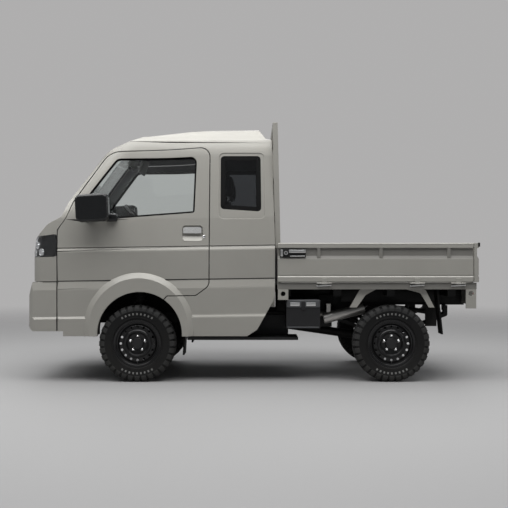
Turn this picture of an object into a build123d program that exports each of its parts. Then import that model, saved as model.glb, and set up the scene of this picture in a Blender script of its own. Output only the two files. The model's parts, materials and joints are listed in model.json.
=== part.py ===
"""Kei truck with an extended cab and a drop-side bed, as separate named pieces.

Millimetres. +X forward, +Y left, +Z up, origin on the ground under the middle of the box.
"""
import os
from math import cos, pi, radians, tan

from build123d import *

# Overall sizes
LENGTH = 3395.0
HALF_WIDTH = 737.5
ROOF_Z = 1914.0
WHEELBASE = 1905.0
FRONT_OVERHANG = 835.5
CAB_LENGTH = 1867.5
FRONT_X = LENGTH / 2
TAIL_X = -LENGTH / 2
CAB_BACK_X = FRONT_X - CAB_LENGTH
FRONT_AXLE_X = FRONT_X - FRONT_OVERHANG
REAR_AXLE_X = FRONT_AXLE_X - WHEELBASE
OUT_Y = HALF_WIDTH + 200
FIT = 0.3

# Tyre and wheel
TYRE_R = 287.0
TYRE_HALF = 80.0
TYRE_SIDES = 32
LUG_GAP = 15.0
LUG_DEPTH = 20.0
BEAD_R = 166.0
RIM_R = 180.0
VENT_COUNT = 16
VENT_PCD_R = 125.0
VENT_R = 9.5
NUT_COUNT = 5
NUT_PCD_R = 57.15
NUT_R = 10.0
SPINDLE_R = 27.0
WHEEL_Z = TYRE_R
WHEEL_Y = HALF_WIDTH - 97.5

# Steering axis, leaning inward toward its top
KINGPIN_Y = WHEEL_Y - 80
KINGPIN_LEAN = 10.5
KINGPIN_R = 20.0
KINGPIN_LOW_Z = WHEEL_Z - 92
KINGPIN_TOP_Z = WHEEL_Z + 183

# Cab walls
SILL_Z = 343.0
BUMPER_Z = 380.0
BUMPER_TOP_Z = 748.0
COWL_Z = 1241.0
PANEL_BACK = 29.5
DOOR_BACK = 239.5
SPLIT_BACK = 232.5
SIDE_TUCK = 21.5
ROOF_SPLIT_DROP = 114.0
DOOR_WALL = 60.0
SHELL_WALL = 40.0
SHUT_GAP = 7.0
CREASE_TILT = 0.0145
CREASE_REF_BACK = 1057.5
BOW_R = 9000.0
PANEL_X = FRONT_X - PANEL_BACK
SPLIT_X = FRONT_X - SPLIT_BACK
ROOF_SPLIT_Z = ROOF_Z - ROOF_SPLIT_DROP
CAB_IN_Y = HALF_WIDTH - SIDE_TUCK - DOOR_WALL

# Door hinges, hidden behind the skin
HINGE_X = FRONT_X - 250.5
HINGE_Y = HALF_WIDTH - 29.5
HINGE_R = 5.0
HINGE_NOSE_R = 13.0

# Bed
DECK_Z = 742.0
DECK_PANEL = 3.0
GATE_Z0 = 748.0
GATE_Z1 = 1040.0
GATE_T = 35.0
GATE_X0 = CAB_BACK_X - 20
TAILGATE_X = TAIL_X + 7.5
GATE_X1 = TAILGATE_X + 42
DECK_Y = HALF_WIDTH - GATE_T - 2.5
SILL_Y = HALF_WIDTH - 15.5
SILL_LOW_Z = 694.0
GATE_HINGE_Z = 738.0
GATE_HINGE_R = 7.0
GUARD_TOP_Z = ROOF_Z + 31
GUARD_TUBE = 38.0
EYE_R = 18.0

# Frame
RAIL_Y = WHEEL_Y - 305
RAIL_W = 60.0
RAIL_H = 80.0
CAB_RAIL_TOP = 500.0
BED_RAIL_TOP = 640.0
RAIL_OUT_Y = RAIL_Y + RAIL_W / 2

PARTS = {}


def face_of(rows):
    """Closed outline from rows of u, v, corner radius."""
    corners = [(row[0], row[1]) for row in rows]
    return make_face(FilletPolyline(*corners, radius=[row[2] for row in rows], close=True))


def side_prism(rows, y0, y1):
    """Outline in X and Z, drawn out between two Y values."""
    return extrude(Plane.XZ.offset(-y1) * face_of(rows), amount=y1 - y0)


def cross_prism(rows, x0, x1):
    """Outline in Y and Z, drawn out between two X values."""
    return extrude(Plane.YZ.offset(x0) * face_of(rows), amount=x1 - x0)


def behind_front(rows):
    """Rows of distance behind the front, z, corner radius, as x, z, corner radius."""
    return [(FRONT_X - back, z, r) for back, z, r in rows]


def block(x0, x1, y0, y1, z0, z1):
    size = (abs(x1 - x0), abs(y1 - y0), abs(z1 - z0))
    middle = ((x0 + x1) / 2, (y0 + y1) / 2, (z0 + z1) / 2)
    return Pos(*middle) * Box(*size)


def rod(start, end, radius):
    """Round bar between two points."""
    run = Vector(*end) - Vector(*start)
    bar = Cylinder(radius, run.length, align=(Align.CENTER, Align.CENTER, Align.MIN))
    return Plane(origin=start, z_dir=run) * bar


def mirrored(shape):
    return mirror(shape, about=Plane.XZ)


def turned(rows):
    """Ring about the Y axis from rows of radius, y."""
    outline = Polyline(*[(y, r) for r, y in rows], close=True)
    return revolve(Plane.YZ * make_face(outline), Axis.Y)


def sided(rows):
    """Many-sided drum about the Y axis from rows of flat radius, y."""
    rings = []
    for radius, y in rows:
        corner = radius / cos(pi / TYRE_SIDES)
        polygon = RegularPolygon(corner, TYRE_SIDES, rotation=180 / TYRE_SIDES)
        rings.append(Plane(origin=(0, y, 0), x_dir=(0, 0, 1), z_dir=(0, 1, 0)) * polygon)
    return loft(rings, ruled=True)


def single(shape):
    """The largest solid of a shape."""
    return max(shape.solids(), key=lambda solid: solid.volume)


# Cab outline seen from the side: distance behind the front, z, corner radius
CAB_PROFILE = [
    (257.5, BUMPER_Z, 0),
    (0, BUMPER_Z, 45),
    (0, 650, 60),
    (PANEL_BACK, 752, 0),
    (PANEL_BACK, 930, 60),
    (47.5, 1070, 60),
    (137.5, 1182, 120),
    (245.5, COWL_Z, 0),
    (612.5, ROOF_Z - 192, 250),
    (837.5, ROOF_Z - 76, 400),
    (1317.5, ROOF_Z - 6, 1200),
    (CAB_LENGTH + 230, ROOF_Z, 0),
]

# Half cross section of the cab: tuck in from the widest point, z
CAB_SIDE = [
    (21.5, SILL_Z - 93),
    (21.5, SILL_Z),
    (15.5, 482),
    (24.5, 500),
    (19.5, 700),
    (31.5, 762),
    (26.5, 766),
    (20.5, 985),
    (31.5, 1012),
    (25.5, 1016),
    (27.5, 1040),
    (39.5, 1222),
    (109.5, ROOF_Z - 104),
]
CAB_SIDE_PLAIN = [
    (SIDE_TUCK, SILL_Z - 93),
    (SIDE_TUCK, 985),
    (27.5, 1040),
    (39.5, 1222),
    (109.5, ROOF_Z - 104),
]
CAB_TOP = [(140.5, ROOF_Z - 92), (184.5, ROOF_Z - 22), (269.5, ROOF_Z)]
CROWN = 10.0


def cab_section(inset, rows):
    """Cab cross section drawn from nose to tail along the rising creases."""
    half = [(HALF_WIDTH - tuck - inset, z) for tuck, z in rows]
    half += [(HALF_WIDTH - tuck - inset, z - inset) for tuck, z in CAB_TOP]
    loop = half + [(0, ROOF_Z + CROWN - inset)] + [(-y, z) for y, z in reversed(half)]
    start_x = FRONT_X + 100
    drop = (CREASE_REF_BACK + 100) * CREASE_TILT
    face = Plane.YZ.offset(start_x) * make_face(Polyline(*loop, close=True))
    return extrude(Pos(0, 0, -drop) * face, amount=CAB_LENGTH + 430, dir=(-1, 0, CREASE_TILT))


def cab_plan(front, corner, inset, z0, z1):
    side = HALF_WIDTH + 1 - inset
    tip = front - inset
    tail = CAB_BACK_X - 330
    rows = [(tail, -side, 0), (tip, -side, corner - inset), (tip, side, corner - inset), (tail, side, 0)]
    return extrude(Plane.XY.offset(z0) * face_of(rows), amount=z1 - z0)


def inset_profile(inset):
    """The side outline moved inward, corner by corner."""
    outline = behind_front(CAB_PROFILE)
    last = len(outline) - 1
    rows = []
    for index, (x, z, r) in enumerate(outline):
        before = Vector(*outline[max(index - 1, 0)][:2])
        after = Vector(*outline[min(index + 1, last)][:2])
        here = Vector(x, z)
        along_in = (here - before).normalized() if index else (after - here).normalized()
        along_out = (after - here).normalized() if index < last else along_in
        normal_in = Vector(-along_in.Y, along_in.X)
        normal_out = Vector(-along_out.Y, along_out.X)
        both = (normal_in + normal_out).normalized()
        step = inset / both.dot(normal_in)
        convex = along_in.X * along_out.Y - along_in.Y * along_out.X > 0
        radius = r if r == 0 else (max(r - inset, 5) if convex else r + inset)
        rows.append((x + both.X * step, z + both.Y * step, radius))
    return rows


def back_half(inset):
    """Everything ahead of the leaning back wall, with the dropped rear end of the roof."""
    x = CAB_BACK_X + inset
    ahead = FRONT_X + 200
    rows = [
        (x, 100, 0),
        (x + 1, 1033, 0),
        (x + 24, ROOF_Z - 88 - inset, 12),
        (x + 64, ROOF_Z - 82 - inset, 0),
        (x + 126, ROOF_Z - inset, 30),
        (x + 126, ROOF_Z + 190, 0),
        (ahead, ROOF_Z + 190, 0),
        (ahead, 100, 0),
    ]
    return side_prism(rows, -OUT_Y, OUT_Y)


def cab_body(inset, rows, floor_z):
    """Closed cab shape with every face moved inward."""
    tail = CAB_BACK_X - 230
    toe = FRONT_X - 257.5 - inset
    face = face_of([(tail, floor_z, 0), (toe, floor_z, 0)] + inset_profile(inset))
    pivot = Axis((-BOW_R, 0, 0), (0, 0, 1))
    bowed = revolve(Plane.XZ * face, pivot, 12).rotate(pivot, -6)
    plan = cab_plan(FRONT_X + 1, 130, inset, SILL_Z - 193, BUMPER_TOP_Z)
    plan += cab_plan(PANEL_X + 1, 200, inset, BUMPER_TOP_Z, ROOF_Z + 140)
    return bowed & cab_section(inset, rows) & plan & back_half(inset)


# Openings in the cab sides: distance behind the front, z, corner radius
DOOR_ROWS = [
    (DOOR_BACK, SILL_Z, 8),
    (DOOR_BACK, 1136, 40),
    (645.5, ROOF_Z - 206, 160),
    (1374.5, ROOF_Z - 150, 67),
    (1369.5, 722, 60),
    (1272.5, 650, 40),
    (1057.5, 648, 14),
    (1029.5, 614, 0),
    (937.5, 500, 0),
    (855.5, SILL_Z, 0),
]
DOOR_WINDOW = [
    (429.5, 1203, 30),
    (441.5, 1318, 20),
    (701.5, ROOF_Z - 252, 60),
    (1279.5, ROOF_Z - 220, 45),
    (1263.5, 1268, 18),
]
QUARTER_WINDOW = [
    (1458.5, 1296, 28),
    (1458.5, ROOF_Z - 216, 28),
    (1759.5, ROOF_Z - 216, 28),
    (1764.5, 1276, 28),
]
QUARTER_SURROUND = [
    (1446.5, 1222, 36),
    (1446.5, ROOF_Z - 192, 36),
    (1783, ROOF_Z - 192, 36),
    (1791, 1222, 36),
]
SURROUND_DEPTH = 5.0
LAMP_ROWS = [(235.5, 938, 20), (-22.5, 930, 0), (-22.5, 1076, 0), (57.5, 1086, 0), (235.5, 1108, 20)]
LAMP_IN_Y = HALF_WIDTH - 307.5
SCREEN_HALF = [(HALF_WIDTH - 85.5, COWL_Z), (HALF_WIDTH - 171.5, ROOF_Z - 144)]
BACK_WINDOW = [(HALF_WIDTH - 257.5, 1300, 40), (HALF_WIDTH - 287.5, ROOF_Z - 224, 40)]

# Front wheel arch, and the lip round it
ARCH_X = FRONT_AXLE_X - 20
ARCH_Z = WHEEL_Z + 71
ARCH_R = TYRE_R + 30
ARCH_STEP = 14.0
ARCH_LIP = 37.5
FLARE_X = ARCH_X + 8
FLARE_Z = ARCH_Z + 49
FLARE_R = ARCH_R + 93
FLARE_EDGE = 20.0

# Handle bowl in the door: distance behind the front, z, corner radius
HANDLE_BOWL = [(1173.5, 1056, 26), (1173.5, 1172, 26), (1325.5, 1172, 26), (1325.5, 1056, 26)]
HANDLE_BAR = [(1179.5, 1113, 8), (1179.5, 1160, 18), (1316.5, 1160, 18), (1316.5, 1113, 8)]
BOWL_DEPTH = 14.0
BAR_OUT = 6.0
HANDLE_FEET = [1186.5, 1309.5]

HINGE_SPANS = [(630, 700), (870, 930)]
BUMPER_SLOT_Y = HALF_WIDTH - 377.5
BUMPER_SLOT = (430, 530)
GRILLE_BARS = 3
GRILLE_BAR_T = 14.0
FOG_Y = (HALF_WIDTH - 267.5, HALF_WIDTH - 137.5)
FOG_POCKET = [(FOG_Y[0], 440, 22), (FOG_Y[1], 440, 22), (FOG_Y[1], 520, 22), (FOG_Y[0], 520, 22)]
POCKET_DEPTH = 12.0


def arch_cutter():
    """Wheel opening, wider behind its lip so that the turned tyre clears the panel."""
    turn = Pos(ARCH_X, 0, ARCH_Z) * Rot(90, 0, 0)
    opening = turn * Cylinder(ARCH_R, 2 * OUT_Y)
    return opening + turn * Cylinder(ARCH_R + ARCH_STEP, 2 * (HALF_WIDTH - ARCH_LIP))


def flare():
    """Lip round the front arch, rising out of the panel to the full width."""
    low = Align.CENTER, Align.CENTER, Align.MIN
    root = Plane(origin=(FLARE_X, HALF_WIDTH - DOOR_WALL, FLARE_Z), z_dir=(0, 1, 0))
    top = Plane(origin=(FLARE_X, HALF_WIDTH - FLARE_EDGE, FLARE_Z), z_dir=(0, 1, 0))
    disc = root * Cylinder(FLARE_R, DOOR_WALL - FLARE_EDGE, align=low)
    lip = top * Cone(FLARE_R, FLARE_R - 2 * FLARE_EDGE, FLARE_EDGE, align=low)
    zone = block(FLARE_X - FLARE_R, FLARE_X + FLARE_R, HALF_WIDTH - 240, OUT_Y, SILL_Z, FLARE_Z + FLARE_R)
    return (disc + lip) & zone


def screen_prism():
    (y0, z0), (y1, z1) = SCREEN_HALF
    rows = [(-y0, z0, 0), (y0, z0, 0), (y1, z1, 30), (-y1, z1, 30)]
    return cross_prism(rows, FRONT_X - 817.5, FRONT_X - 97.5)


def skin_y(z):
    """How far out the door skin lies above the belt crease."""
    (tuck0, z0), (tuck1, z1) = CAB_SIDE_PLAIN[2:4]
    return HALF_WIDTH - tuck0 - (z - z0) * (tuck1 - tuck0) / (z1 - z0)


def handle_prism(rows, low, high):
    """Outline on the door skin, between two depths outward from it."""
    z0 = min(row[1] for row in rows)
    z1 = max(row[1] for row in rows)
    tilted = [(skin_y(z0) + low, z0, 0), (skin_y(z1) + low, z1, 0)]
    tilted += [(skin_y(z1) + high, z1, 0), (skin_y(z0) + high, z0, 0)]
    slab = cross_prism(tilted, CAB_BACK_X, FRONT_X)
    return slab & side_prism(behind_front(rows), 0, OUT_Y)


def build_door(side):
    """Door skin with its window, hinge pockets and handle bowl, and the handle."""
    window = side_prism(behind_front(DOOR_WINDOW), 0, OUT_Y)
    leaf = side & side_prism(behind_front(DOOR_ROWS), 0, OUT_Y)
    nose = Pos(HINGE_X, HINGE_Y, 0) * Cylinder(HINGE_NOSE_R, 2 * ROOF_Z)
    leaf -= block(HINGE_X, FRONT_X, HINGE_Y, OUT_Y, 0, COWL_Z - 100) - nose
    for z0, z1 in HINGE_SPANS:
        pocket = block(HINGE_X - HINGE_R - FIT, FRONT_X, 0, HINGE_Y + HINGE_R, z0 - FIT, z1 + FIT)
        leaf -= pocket
    bowl = handle_prism(HANDLE_BOWL, -BOWL_DEPTH, 2 * BOWL_DEPTH)
    ramp_z = HANDLE_BOWL[0][1]
    ramp = [(skin_y(ramp_z), ramp_z, 0), (skin_y(ramp_z + 36) - BOWL_DEPTH, ramp_z + 36, 0)]
    ramp += [(skin_y(ramp_z) - 2 * BOWL_DEPTH, ramp_z, 0)]
    bowl -= cross_prism(ramp, CAB_BACK_X, FRONT_X)
    leaf = single(leaf - window - bowl)

    handle = handle_prism(HANDLE_BAR, -BAR_OUT, BAR_OUT)
    for back in HANDLE_FEET:
        foot = [(back - 7, 1128, 0), (back - 7, 1154, 0), (back + 7, 1154, 0), (back + 7, 1128, 0)]
        handle += handle_prism(foot, -BOWL_DEPTH - 10, 0)
    return leaf, single(handle - leaf), window


def build_cab():
    outer = cab_body(0, CAB_SIDE, SILL_Z)
    low_z = SILL_Z - 193
    inner_side = cab_body(DOOR_WALL, CAB_SIDE_PLAIN, low_z)
    inner_shell = cab_body(SHELL_WALL, CAB_SIDE_PLAIN, low_z)

    x = CAB_BACK_X
    sill_ends = side_prism([(x - 230, 660, 0), (x + 4, 645, 0), (x + 10, 612, 30), (x + 134, 392, 40),
                            (x + 210, SILL_Z, 0), (x + 210, 100, 0), (x - 230, 100, 0)], -OUT_Y, OUT_Y)
    side_inner = cab_section(DOOR_WALL, CAB_SIDE_PLAIN)
    walls = outer - side_inner
    side = walls + (flare() - side_inner) - arch_cutter() - sill_ends
    ahead = FRONT_X + 200
    front = side_prism([(SPLIT_X, 100, 0), (SPLIT_X, 1138, 0), (FRONT_X - 306.5, COWL_Z, 0),
                        (ahead, COWL_Z, 0), (ahead, 100, 0)], -OUT_Y, OUT_Y)
    roof_zone = block(x - 230, ahead, -OUT_Y, OUT_Y, ROOF_SPLIT_Z, ROOF_Z + 190)
    header_y = SCREEN_HALF[1][0] + 4
    header_zone = block(FRONT_X - 897.5, ahead, -header_y, header_y, SCREEN_HALF[1][1], ROOF_SPLIT_Z)

    leaf, handle, window = build_door(side)
    PARTS["door_left"] = leaf
    PARTS["door_right"] = mirrored(leaf)
    PARTS["door_handle_left"] = handle
    PARTS["door_handle_right"] = mirrored(handle)
    glass = cab_body(22, CAB_SIDE_PLAIN, low_z) - cab_body(27, CAB_SIDE_PLAIN, low_z)
    pane = single(glass & window)
    PARTS["door_glass_left"] = pane
    PARTS["door_glass_right"] = mirrored(pane)

    # Side panel behind and over the door, with the quarter window in its sunk surround
    door_gap = offset(face_of(behind_front(DOOR_ROWS)), SHUT_GAP, kind=Kind.INTERSECTION)
    door_cut = extrude(Plane.XZ.offset(-OUT_Y) * door_gap, amount=OUT_Y)
    quarter = side_prism(behind_front(QUARTER_WINDOW), 0, OUT_Y)
    surround = side_prism(behind_front(QUARTER_SURROUND), 0, OUT_Y)
    surround -= cab_section(SURROUND_DEPTH, CAB_SIDE_PLAIN)
    half = side & block(x - 230, SPLIT_X, 0, OUT_Y, 100, ROOF_SPLIT_Z)
    half = single(half - door_cut - front - surround - quarter)
    PARTS["cab_side_left"] = half
    PARTS["cab_side_right"] = mirrored(half)

    # Roof, back wall
    shell = outer - inner_shell
    roof = (shell & roof_zone) + (shell & header_zone) - half - mirrored(half)
    PARTS["cab_roof"] = single(roof - screen_prism())
    (y0, z0, r0), (y1, z1, r1) = BACK_WINDOW
    back_hole = cross_prism([(-y0, z0, r0), (y0, z0, r0), (y1, z1, r1), (-y1, z1, r1)], x - 230, x + 170)
    back = (shell & block(x - 230, x + 80, -OUT_Y, OUT_Y, 560, ROOF_SPLIT_Z)) - walls - back_hole
    PARTS["cab_back_wall"] = single(back)

    # Fixed glass
    thin = cab_body(10, CAB_SIDE_PLAIN, low_z) - cab_body(16, CAB_SIDE_PLAIN, low_z)
    PARTS["windscreen"] = single((thin & screen_prism()) - half - mirrored(half))
    pane = single(thin & quarter)
    PARTS["quarter_glass"] = Compound([pane, mirrored(pane)])
    PARTS["back_glass"] = single(thin & back_hole)

    # Front panel with its lamp housings and the fixed half of each door hinge
    nose = (shell & front) - block(0, ahead, -OUT_Y, OUT_Y, 0, BUMPER_TOP_Z + 4)
    lamp_zone = side_prism(behind_front(LAMP_ROWS), LAMP_IN_Y, OUT_Y)
    lamp = single((outer - cab_body(SHELL_WALL - 2, CAB_SIDE_PLAIN, low_z)) & lamp_zone)
    nose = single(nose - lamp_zone - mirrored(lamp_zone) - screen_prism())
    arms = Part()
    for z0, z1 in HINGE_SPANS:
        arms += Pos(HINGE_X, HINGE_Y, (z0 + z1) / 2) * Cylinder(HINGE_R - FIT, z1 - z0)
        arms += block(HINGE_X - HINGE_R + FIT, HINGE_X + HINGE_R, HINGE_Y - 32, HINGE_Y, z0, z1)
        arms += block(HINGE_X - HINGE_R + FIT, SPLIT_X + 25, HINGE_Y - 32, HINGE_Y - 20, z0, z1)
    low_arms = arms & block(0, ahead, 0, OUT_Y, 0, BUMPER_TOP_Z)
    high_arms = arms & block(0, ahead, 0, OUT_Y, BUMPER_TOP_Z, ROOF_Z)
    PARTS["cab_front_panel"] = single(nose + high_arms + mirrored(high_arms))
    PARTS["headlamps"] = Compound([lamp, mirrored(lamp)])

    # Bumper with its intake, the grille set back in it, and shallow lamp pockets
    z0, z1 = BUMPER_SLOT
    slot = block(PANEL_X - 100, ahead, -BUMPER_SLOT_Y, BUMPER_SLOT_Y, z0, z1)
    bumper = (shell & front) & block(SPLIT_X, ahead, -OUT_Y, OUT_Y, 0, BUMPER_TOP_Z)
    pocket = cross_prism(FOG_POCKET, PANEL_X - 100, ahead)
    pocket -= cab_body(POCKET_DEPTH, CAB_SIDE_PLAIN, low_z)
    bumper = bumper - slot - pocket - mirrored(pocket)
    PARTS["front_bumper"] = single(bumper + low_arms + mirrored(low_arms))
    grille = (cab_body(12, CAB_SIDE_PLAIN, low_z) - cab_body(30, CAB_SIDE_PLAIN, low_z)) & slot
    pitch = (z1 - z0 - GRILLE_BAR_T) / (GRILLE_BARS + 1)
    for index in range(GRILLE_BARS + 1):
        gap_z = z0 + GRILLE_BAR_T + index * pitch
        grille -= block(0, ahead, 20 - BUMPER_SLOT_Y, BUMPER_SLOT_Y - 20, gap_z, gap_z + pitch - GRILLE_BAR_T)
    PARTS["front_grille"] = single(grille)
    return inner_side, inner_shell


# Wheel section: radius, y from the wheel's middle, inboard face first and then the outboard face
RIM_ROWS = [
    (RIM_R, 70), (RIM_R, 64), (BEAD_R - FIT, 58), (BEAD_R - FIT, -58), (RIM_R, -64), (RIM_R, -70),
    (156, -66), (154, 34), (148, 33), (134, 47), (106, 47), (98, 55), (86, 55), (76, 34),
    (SPINDLE_R + FIT, 34), (SPINDLE_R + FIT, 52), (40, 52), (45, 40), (76, 42), (86, 62), (98, 62),
    (106, 54), (134, 54), (148, 40), (160, 44), (162, 64),
]

# Tyre: flat radius, y, from the inner bead round the tread to the outer bead
TYRE_ROWS = [
    (RIM_R + 2, -70),
    (TYRE_R - 80, 2 - TYRE_HALF),
    (TYRE_R - 45, -TYRE_HALF),
    (TYRE_R - 12, 8 - TYRE_HALF),
    (TYRE_R, 22 - TYRE_HALF),
    (TYRE_R, TYRE_HALF - 22),
    (TYRE_R - 12, TYRE_HALF - 8),
    (TYRE_R - 45, TYRE_HALF),
    (TYRE_R - 80, TYRE_HALF - 2),
    (RIM_R + 2, 70),
]
BORE_ROWS = [
    (RIM_R + 2, -70),
    (RIM_R + 1, -63.5),
    (BEAD_R, -57.4),
    (BEAD_R, 57.4),
    (RIM_R + 1, 63.5),
    (RIM_R + 2, 70),
]

# Wheel places: name, x, side
WHEELS = [
    ("front_left", FRONT_AXLE_X, 1),
    ("front_right", FRONT_AXLE_X, -1),
    ("rear_left", REAR_AXLE_X, 1),
    ("rear_right", REAR_AXLE_X, -1),
]


def round_wheel(count, radius, y, shape):
    """Copies of a shape in a ring about the Y axis, each turned to face along it."""
    return [Rot(0, 360 / count * index, 0) * Pos(0, y, radius) * shape for index in range(count)]


def build_wheels():
    along_axle = Rot(90, 0, 0)
    vent = along_axle * extrude(RegularPolygon(VENT_R, 8), 40, both=True)
    nut = along_axle * extrude(RegularPolygon(NUT_R, 6), 9, both=True)
    rim = turned(RIM_ROWS) - round_wheel(VENT_COUNT, VENT_PCD_R, 50, vent)
    rim = rim + round_wheel(NUT_COUNT, NUT_PCD_R, 48, nut)

    # Notches between the shoulder lugs, in the middle of each flat
    tyre = sided(TYRE_ROWS) - sided(BORE_ROWS)
    notch = Box(LUG_GAP, 60, 2 * LUG_DEPTH)
    for side in (1, -1):
        tyre -= round_wheel(TYRE_SIDES, TYRE_R, side * (TYRE_HALF - 2), notch)
    for name, x, side in WHEELS:
        place = Pos(x, side * WHEEL_Y, WHEEL_Z) * Rot(0, 0, 0 if side > 0 else 180)
        PARTS["wheel_" + name] = place * single(rim)
        PARTS["tyre_" + name] = place * single(tyre)


def kingpin_y(z):
    return KINGPIN_Y - (z - WHEEL_Z) * tan(radians(KINGPIN_LEAN))


def on_kingpin(z0, z1, radius):
    """Bar along the steering axis."""
    return rod((FRONT_AXLE_X, kingpin_y(z0), z0), (FRONT_AXLE_X, kingpin_y(z1), z1), radius)


STRUT_TOP_Z = 690.0
HUB_FACE_Y = WHEEL_Y + 33.5
SPINDLE_END_Y = WHEEL_Y + 50
DIFF_R = 118.0
AXLE_R = 38.0
SPRING_Y = (RAIL_OUT_Y + 30, RAIL_OUT_Y + 90)
SHAFT_END = (CAB_BACK_X + 134.6, 412.0)


def build_running_gear():
    # Knuckle: post along the steering axis, spindle, hub, steering arm
    x = FRONT_AXLE_X
    middle = (x, KINGPIN_Y, WHEEL_Z)
    spindle = rod(middle, (x, SPINDLE_END_Y, WHEEL_Z), SPINDLE_R)
    hub = rod(middle, (x, HUB_FACE_Y, WHEEL_Z), 62)
    arm = block(x - 120, x, KINGPIN_Y - 22, KINGPIN_Y + 8, WHEEL_Z - 51, WHEEL_Z - 29)
    knuckle = single(on_kingpin(KINGPIN_LOW_Z, KINGPIN_TOP_Z, KINGPIN_R) + spindle + hub + arm)
    PARTS["knuckle_left"] = knuckle
    PARTS["knuckle_right"] = mirrored(knuckle)

    # Front crossmember with lower arms and ball joints, and the struts above the knuckles
    low_z = WHEEL_Z - 87
    beam = block(x - 70, x + 70, 35 - RAIL_Y, RAIL_Y - 35, low_z, low_z + 60)
    joint = on_kingpin(KINGPIN_LOW_Z - 35, KINGPIN_LOW_Z - 0.5, KINGPIN_R)
    joint += rod((x, RAIL_Y - 45, low_z + 22), (x, kingpin_y(low_z - 15), low_z - 28), 14)
    joint += block(x - 60, x + 60, RAIL_Y - 25, RAIL_Y + 25, low_z, CAB_RAIL_TOP - RAIL_H)
    PARTS["front_crossmember"] = single(beam + joint + mirrored(joint))
    strut = on_kingpin(KINGPIN_TOP_Z + 0.5, STRUT_TOP_Z - 90, 24)
    strut += on_kingpin(STRUT_TOP_Z - 100, STRUT_TOP_Z + 20, 40)
    strut = single(strut - block(x - 100, x + 100, 0, OUT_Y, STRUT_TOP_Z, STRUT_TOP_Z + 100))
    PARTS["front_struts"] = Compound([strut, mirrored(strut)])

    # Rear axle with its differential and brake drums, leaf springs, shaft
    x = REAR_AXLE_X
    drum_y = WHEEL_Y - 80
    axle = rod((x, -SPINDLE_END_Y, WHEEL_Z), (x, SPINDLE_END_Y, WHEEL_Z), SPINDLE_R)
    axle += rod((x, -drum_y, WHEEL_Z), (x, drum_y, WHEEL_Z), AXLE_R)
    for side in (1, -1):
        axle += rod((x, side * drum_y, WHEEL_Z), (x, side * HUB_FACE_Y, WHEEL_Z), 105)
    bulge = turned([(0, -130), (AXLE_R, -130), (DIFF_R, -60), (DIFF_R, 60), (AXLE_R, 130), (0, 130)])
    axle += Pos(x, 0, WHEEL_Z) * bulge
    axle += rod((x + 90, 0, WHEEL_Z), (x + 200, 0, WHEEL_Z + 8), 45)
    PARTS["rear_axle"] = single(axle)

    seat_z = WHEEL_Z + AXLE_R + FIT
    hang_z = BED_RAIL_TOP - RAIL_H
    leaf = [(x - 470, hang_z, 0), (x - 470, hang_z - 80, 20), (x - 60, seat_z, 0), (x + 60, seat_z, 0),
            (x + 470, hang_z - 90, 20), (x + 470, hang_z, 0), (x + 440, hang_z, 0),
            (x + 440, hang_z - 74, 20), (x + 60, seat_z + 25, 0), (x - 60, seat_z + 25, 0),
            (x - 440, hang_z - 64, 20), (x - 440, hang_z, 0)]
    spring = side_prism(leaf, *SPRING_Y)
    for end in (-455, 455):
        spring += block(x + end - 15, x + end + 15, RAIL_OUT_Y, SPRING_Y[1], hang_z - 40, hang_z)
    spring = single(spring)
    PARTS["leaf_springs"] = Compound([spring, mirrored(spring)])
    PARTS["propeller_shaft"] = rod((x + 203, 0, WHEEL_Z + 8), (SHAFT_END[0], 0, SHAFT_END[1]), 34)


# Frame crossmembers: x, rail top there
FRAME_CROSS = [
    (FRONT_X - 217.5, CAB_RAIL_TOP),
    (FRONT_X - 1137.5, CAB_RAIL_TOP),
    (CAB_BACK_X - 470, BED_RAIL_TOP),
    (TAIL_X + 397.5, BED_RAIL_TOP),
    (TAIL_X + 77.5, BED_RAIL_TOP),
]


def build_frame():
    nose, tail, kick = FRONT_X - 97.5, TAIL_X + 37.5, CAB_BACK_X - 160
    rail = [(nose, CAB_RAIL_TOP - RAIL_H, 0), (nose, CAB_RAIL_TOP, 0), (kick, CAB_RAIL_TOP, 60),
            (kick - 230, BED_RAIL_TOP, 80), (tail, BED_RAIL_TOP, 0), (tail, BED_RAIL_TOP - RAIL_H, 0),
            (kick - 190, BED_RAIL_TOP - RAIL_H, 80), (kick + 30, CAB_RAIL_TOP - RAIL_H, 60)]
    beam = side_prism(rail, RAIL_Y - RAIL_W / 2, RAIL_OUT_Y)
    rails = beam + mirrored(beam)
    for x, top in FRAME_CROSS:
        rails += block(x - 30, x + 30, -RAIL_Y, RAIL_Y, top - RAIL_H + 10, top - 10)
    PARTS["ladder_frame"] = single(rails)

    # Engine block with its bearers and bell housing, under the seats
    x = CAB_BACK_X + 170
    half = RAIL_Y - 95
    engine = block(x + 40, x + 460, -half, half, 335, 680)
    engine += block(x + 180, x + 320, 30 - RAIL_Y, RAIL_Y - 30, 440, 480)
    engine += block(x - 30, x + 40, -100, 100, 350, 480)
    PARTS["engine"] = single(engine)
    PARTS["fuel_tank"] = block(x - 340, x + 430, -WHEEL_Y, -RAIL_OUT_Y, 330, 490)
    skirt = block(x - 345, x + 490, RAIL_OUT_Y, HALF_WIDTH - 77.5, 310, 330)
    skirt += block(x - 280, x + 490, RAIL_OUT_Y, RAIL_OUT_Y + 20, 330, 480)
    PARTS["undercover"] = single(skirt)
    box_y = HALF_WIDTH - 37.5
    battery = block(x - 508, x - 255, box_y - 250, box_y, 399, 598)
    battery += block(x - 512, x - 251, box_y - 254, box_y + 4, 598, 611)
    battery += block(x - 506, x - 452, RAIL_OUT_Y, box_y - 240, 542, 578)
    PARTS["battery_box"] = single(battery)
    can_y = RAIL_OUT_Y + 143
    can = rod((x - 548, can_y, 462), (x - 860, can_y, 540), 42)
    can += block(x - 600, x - 570, RAIL_OUT_Y, can_y, 560, 575)
    can += block(x - 600, x - 570, can_y - 13, can_y + 13, 480, 575)
    PARTS["silencer"] = single(can)


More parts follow.
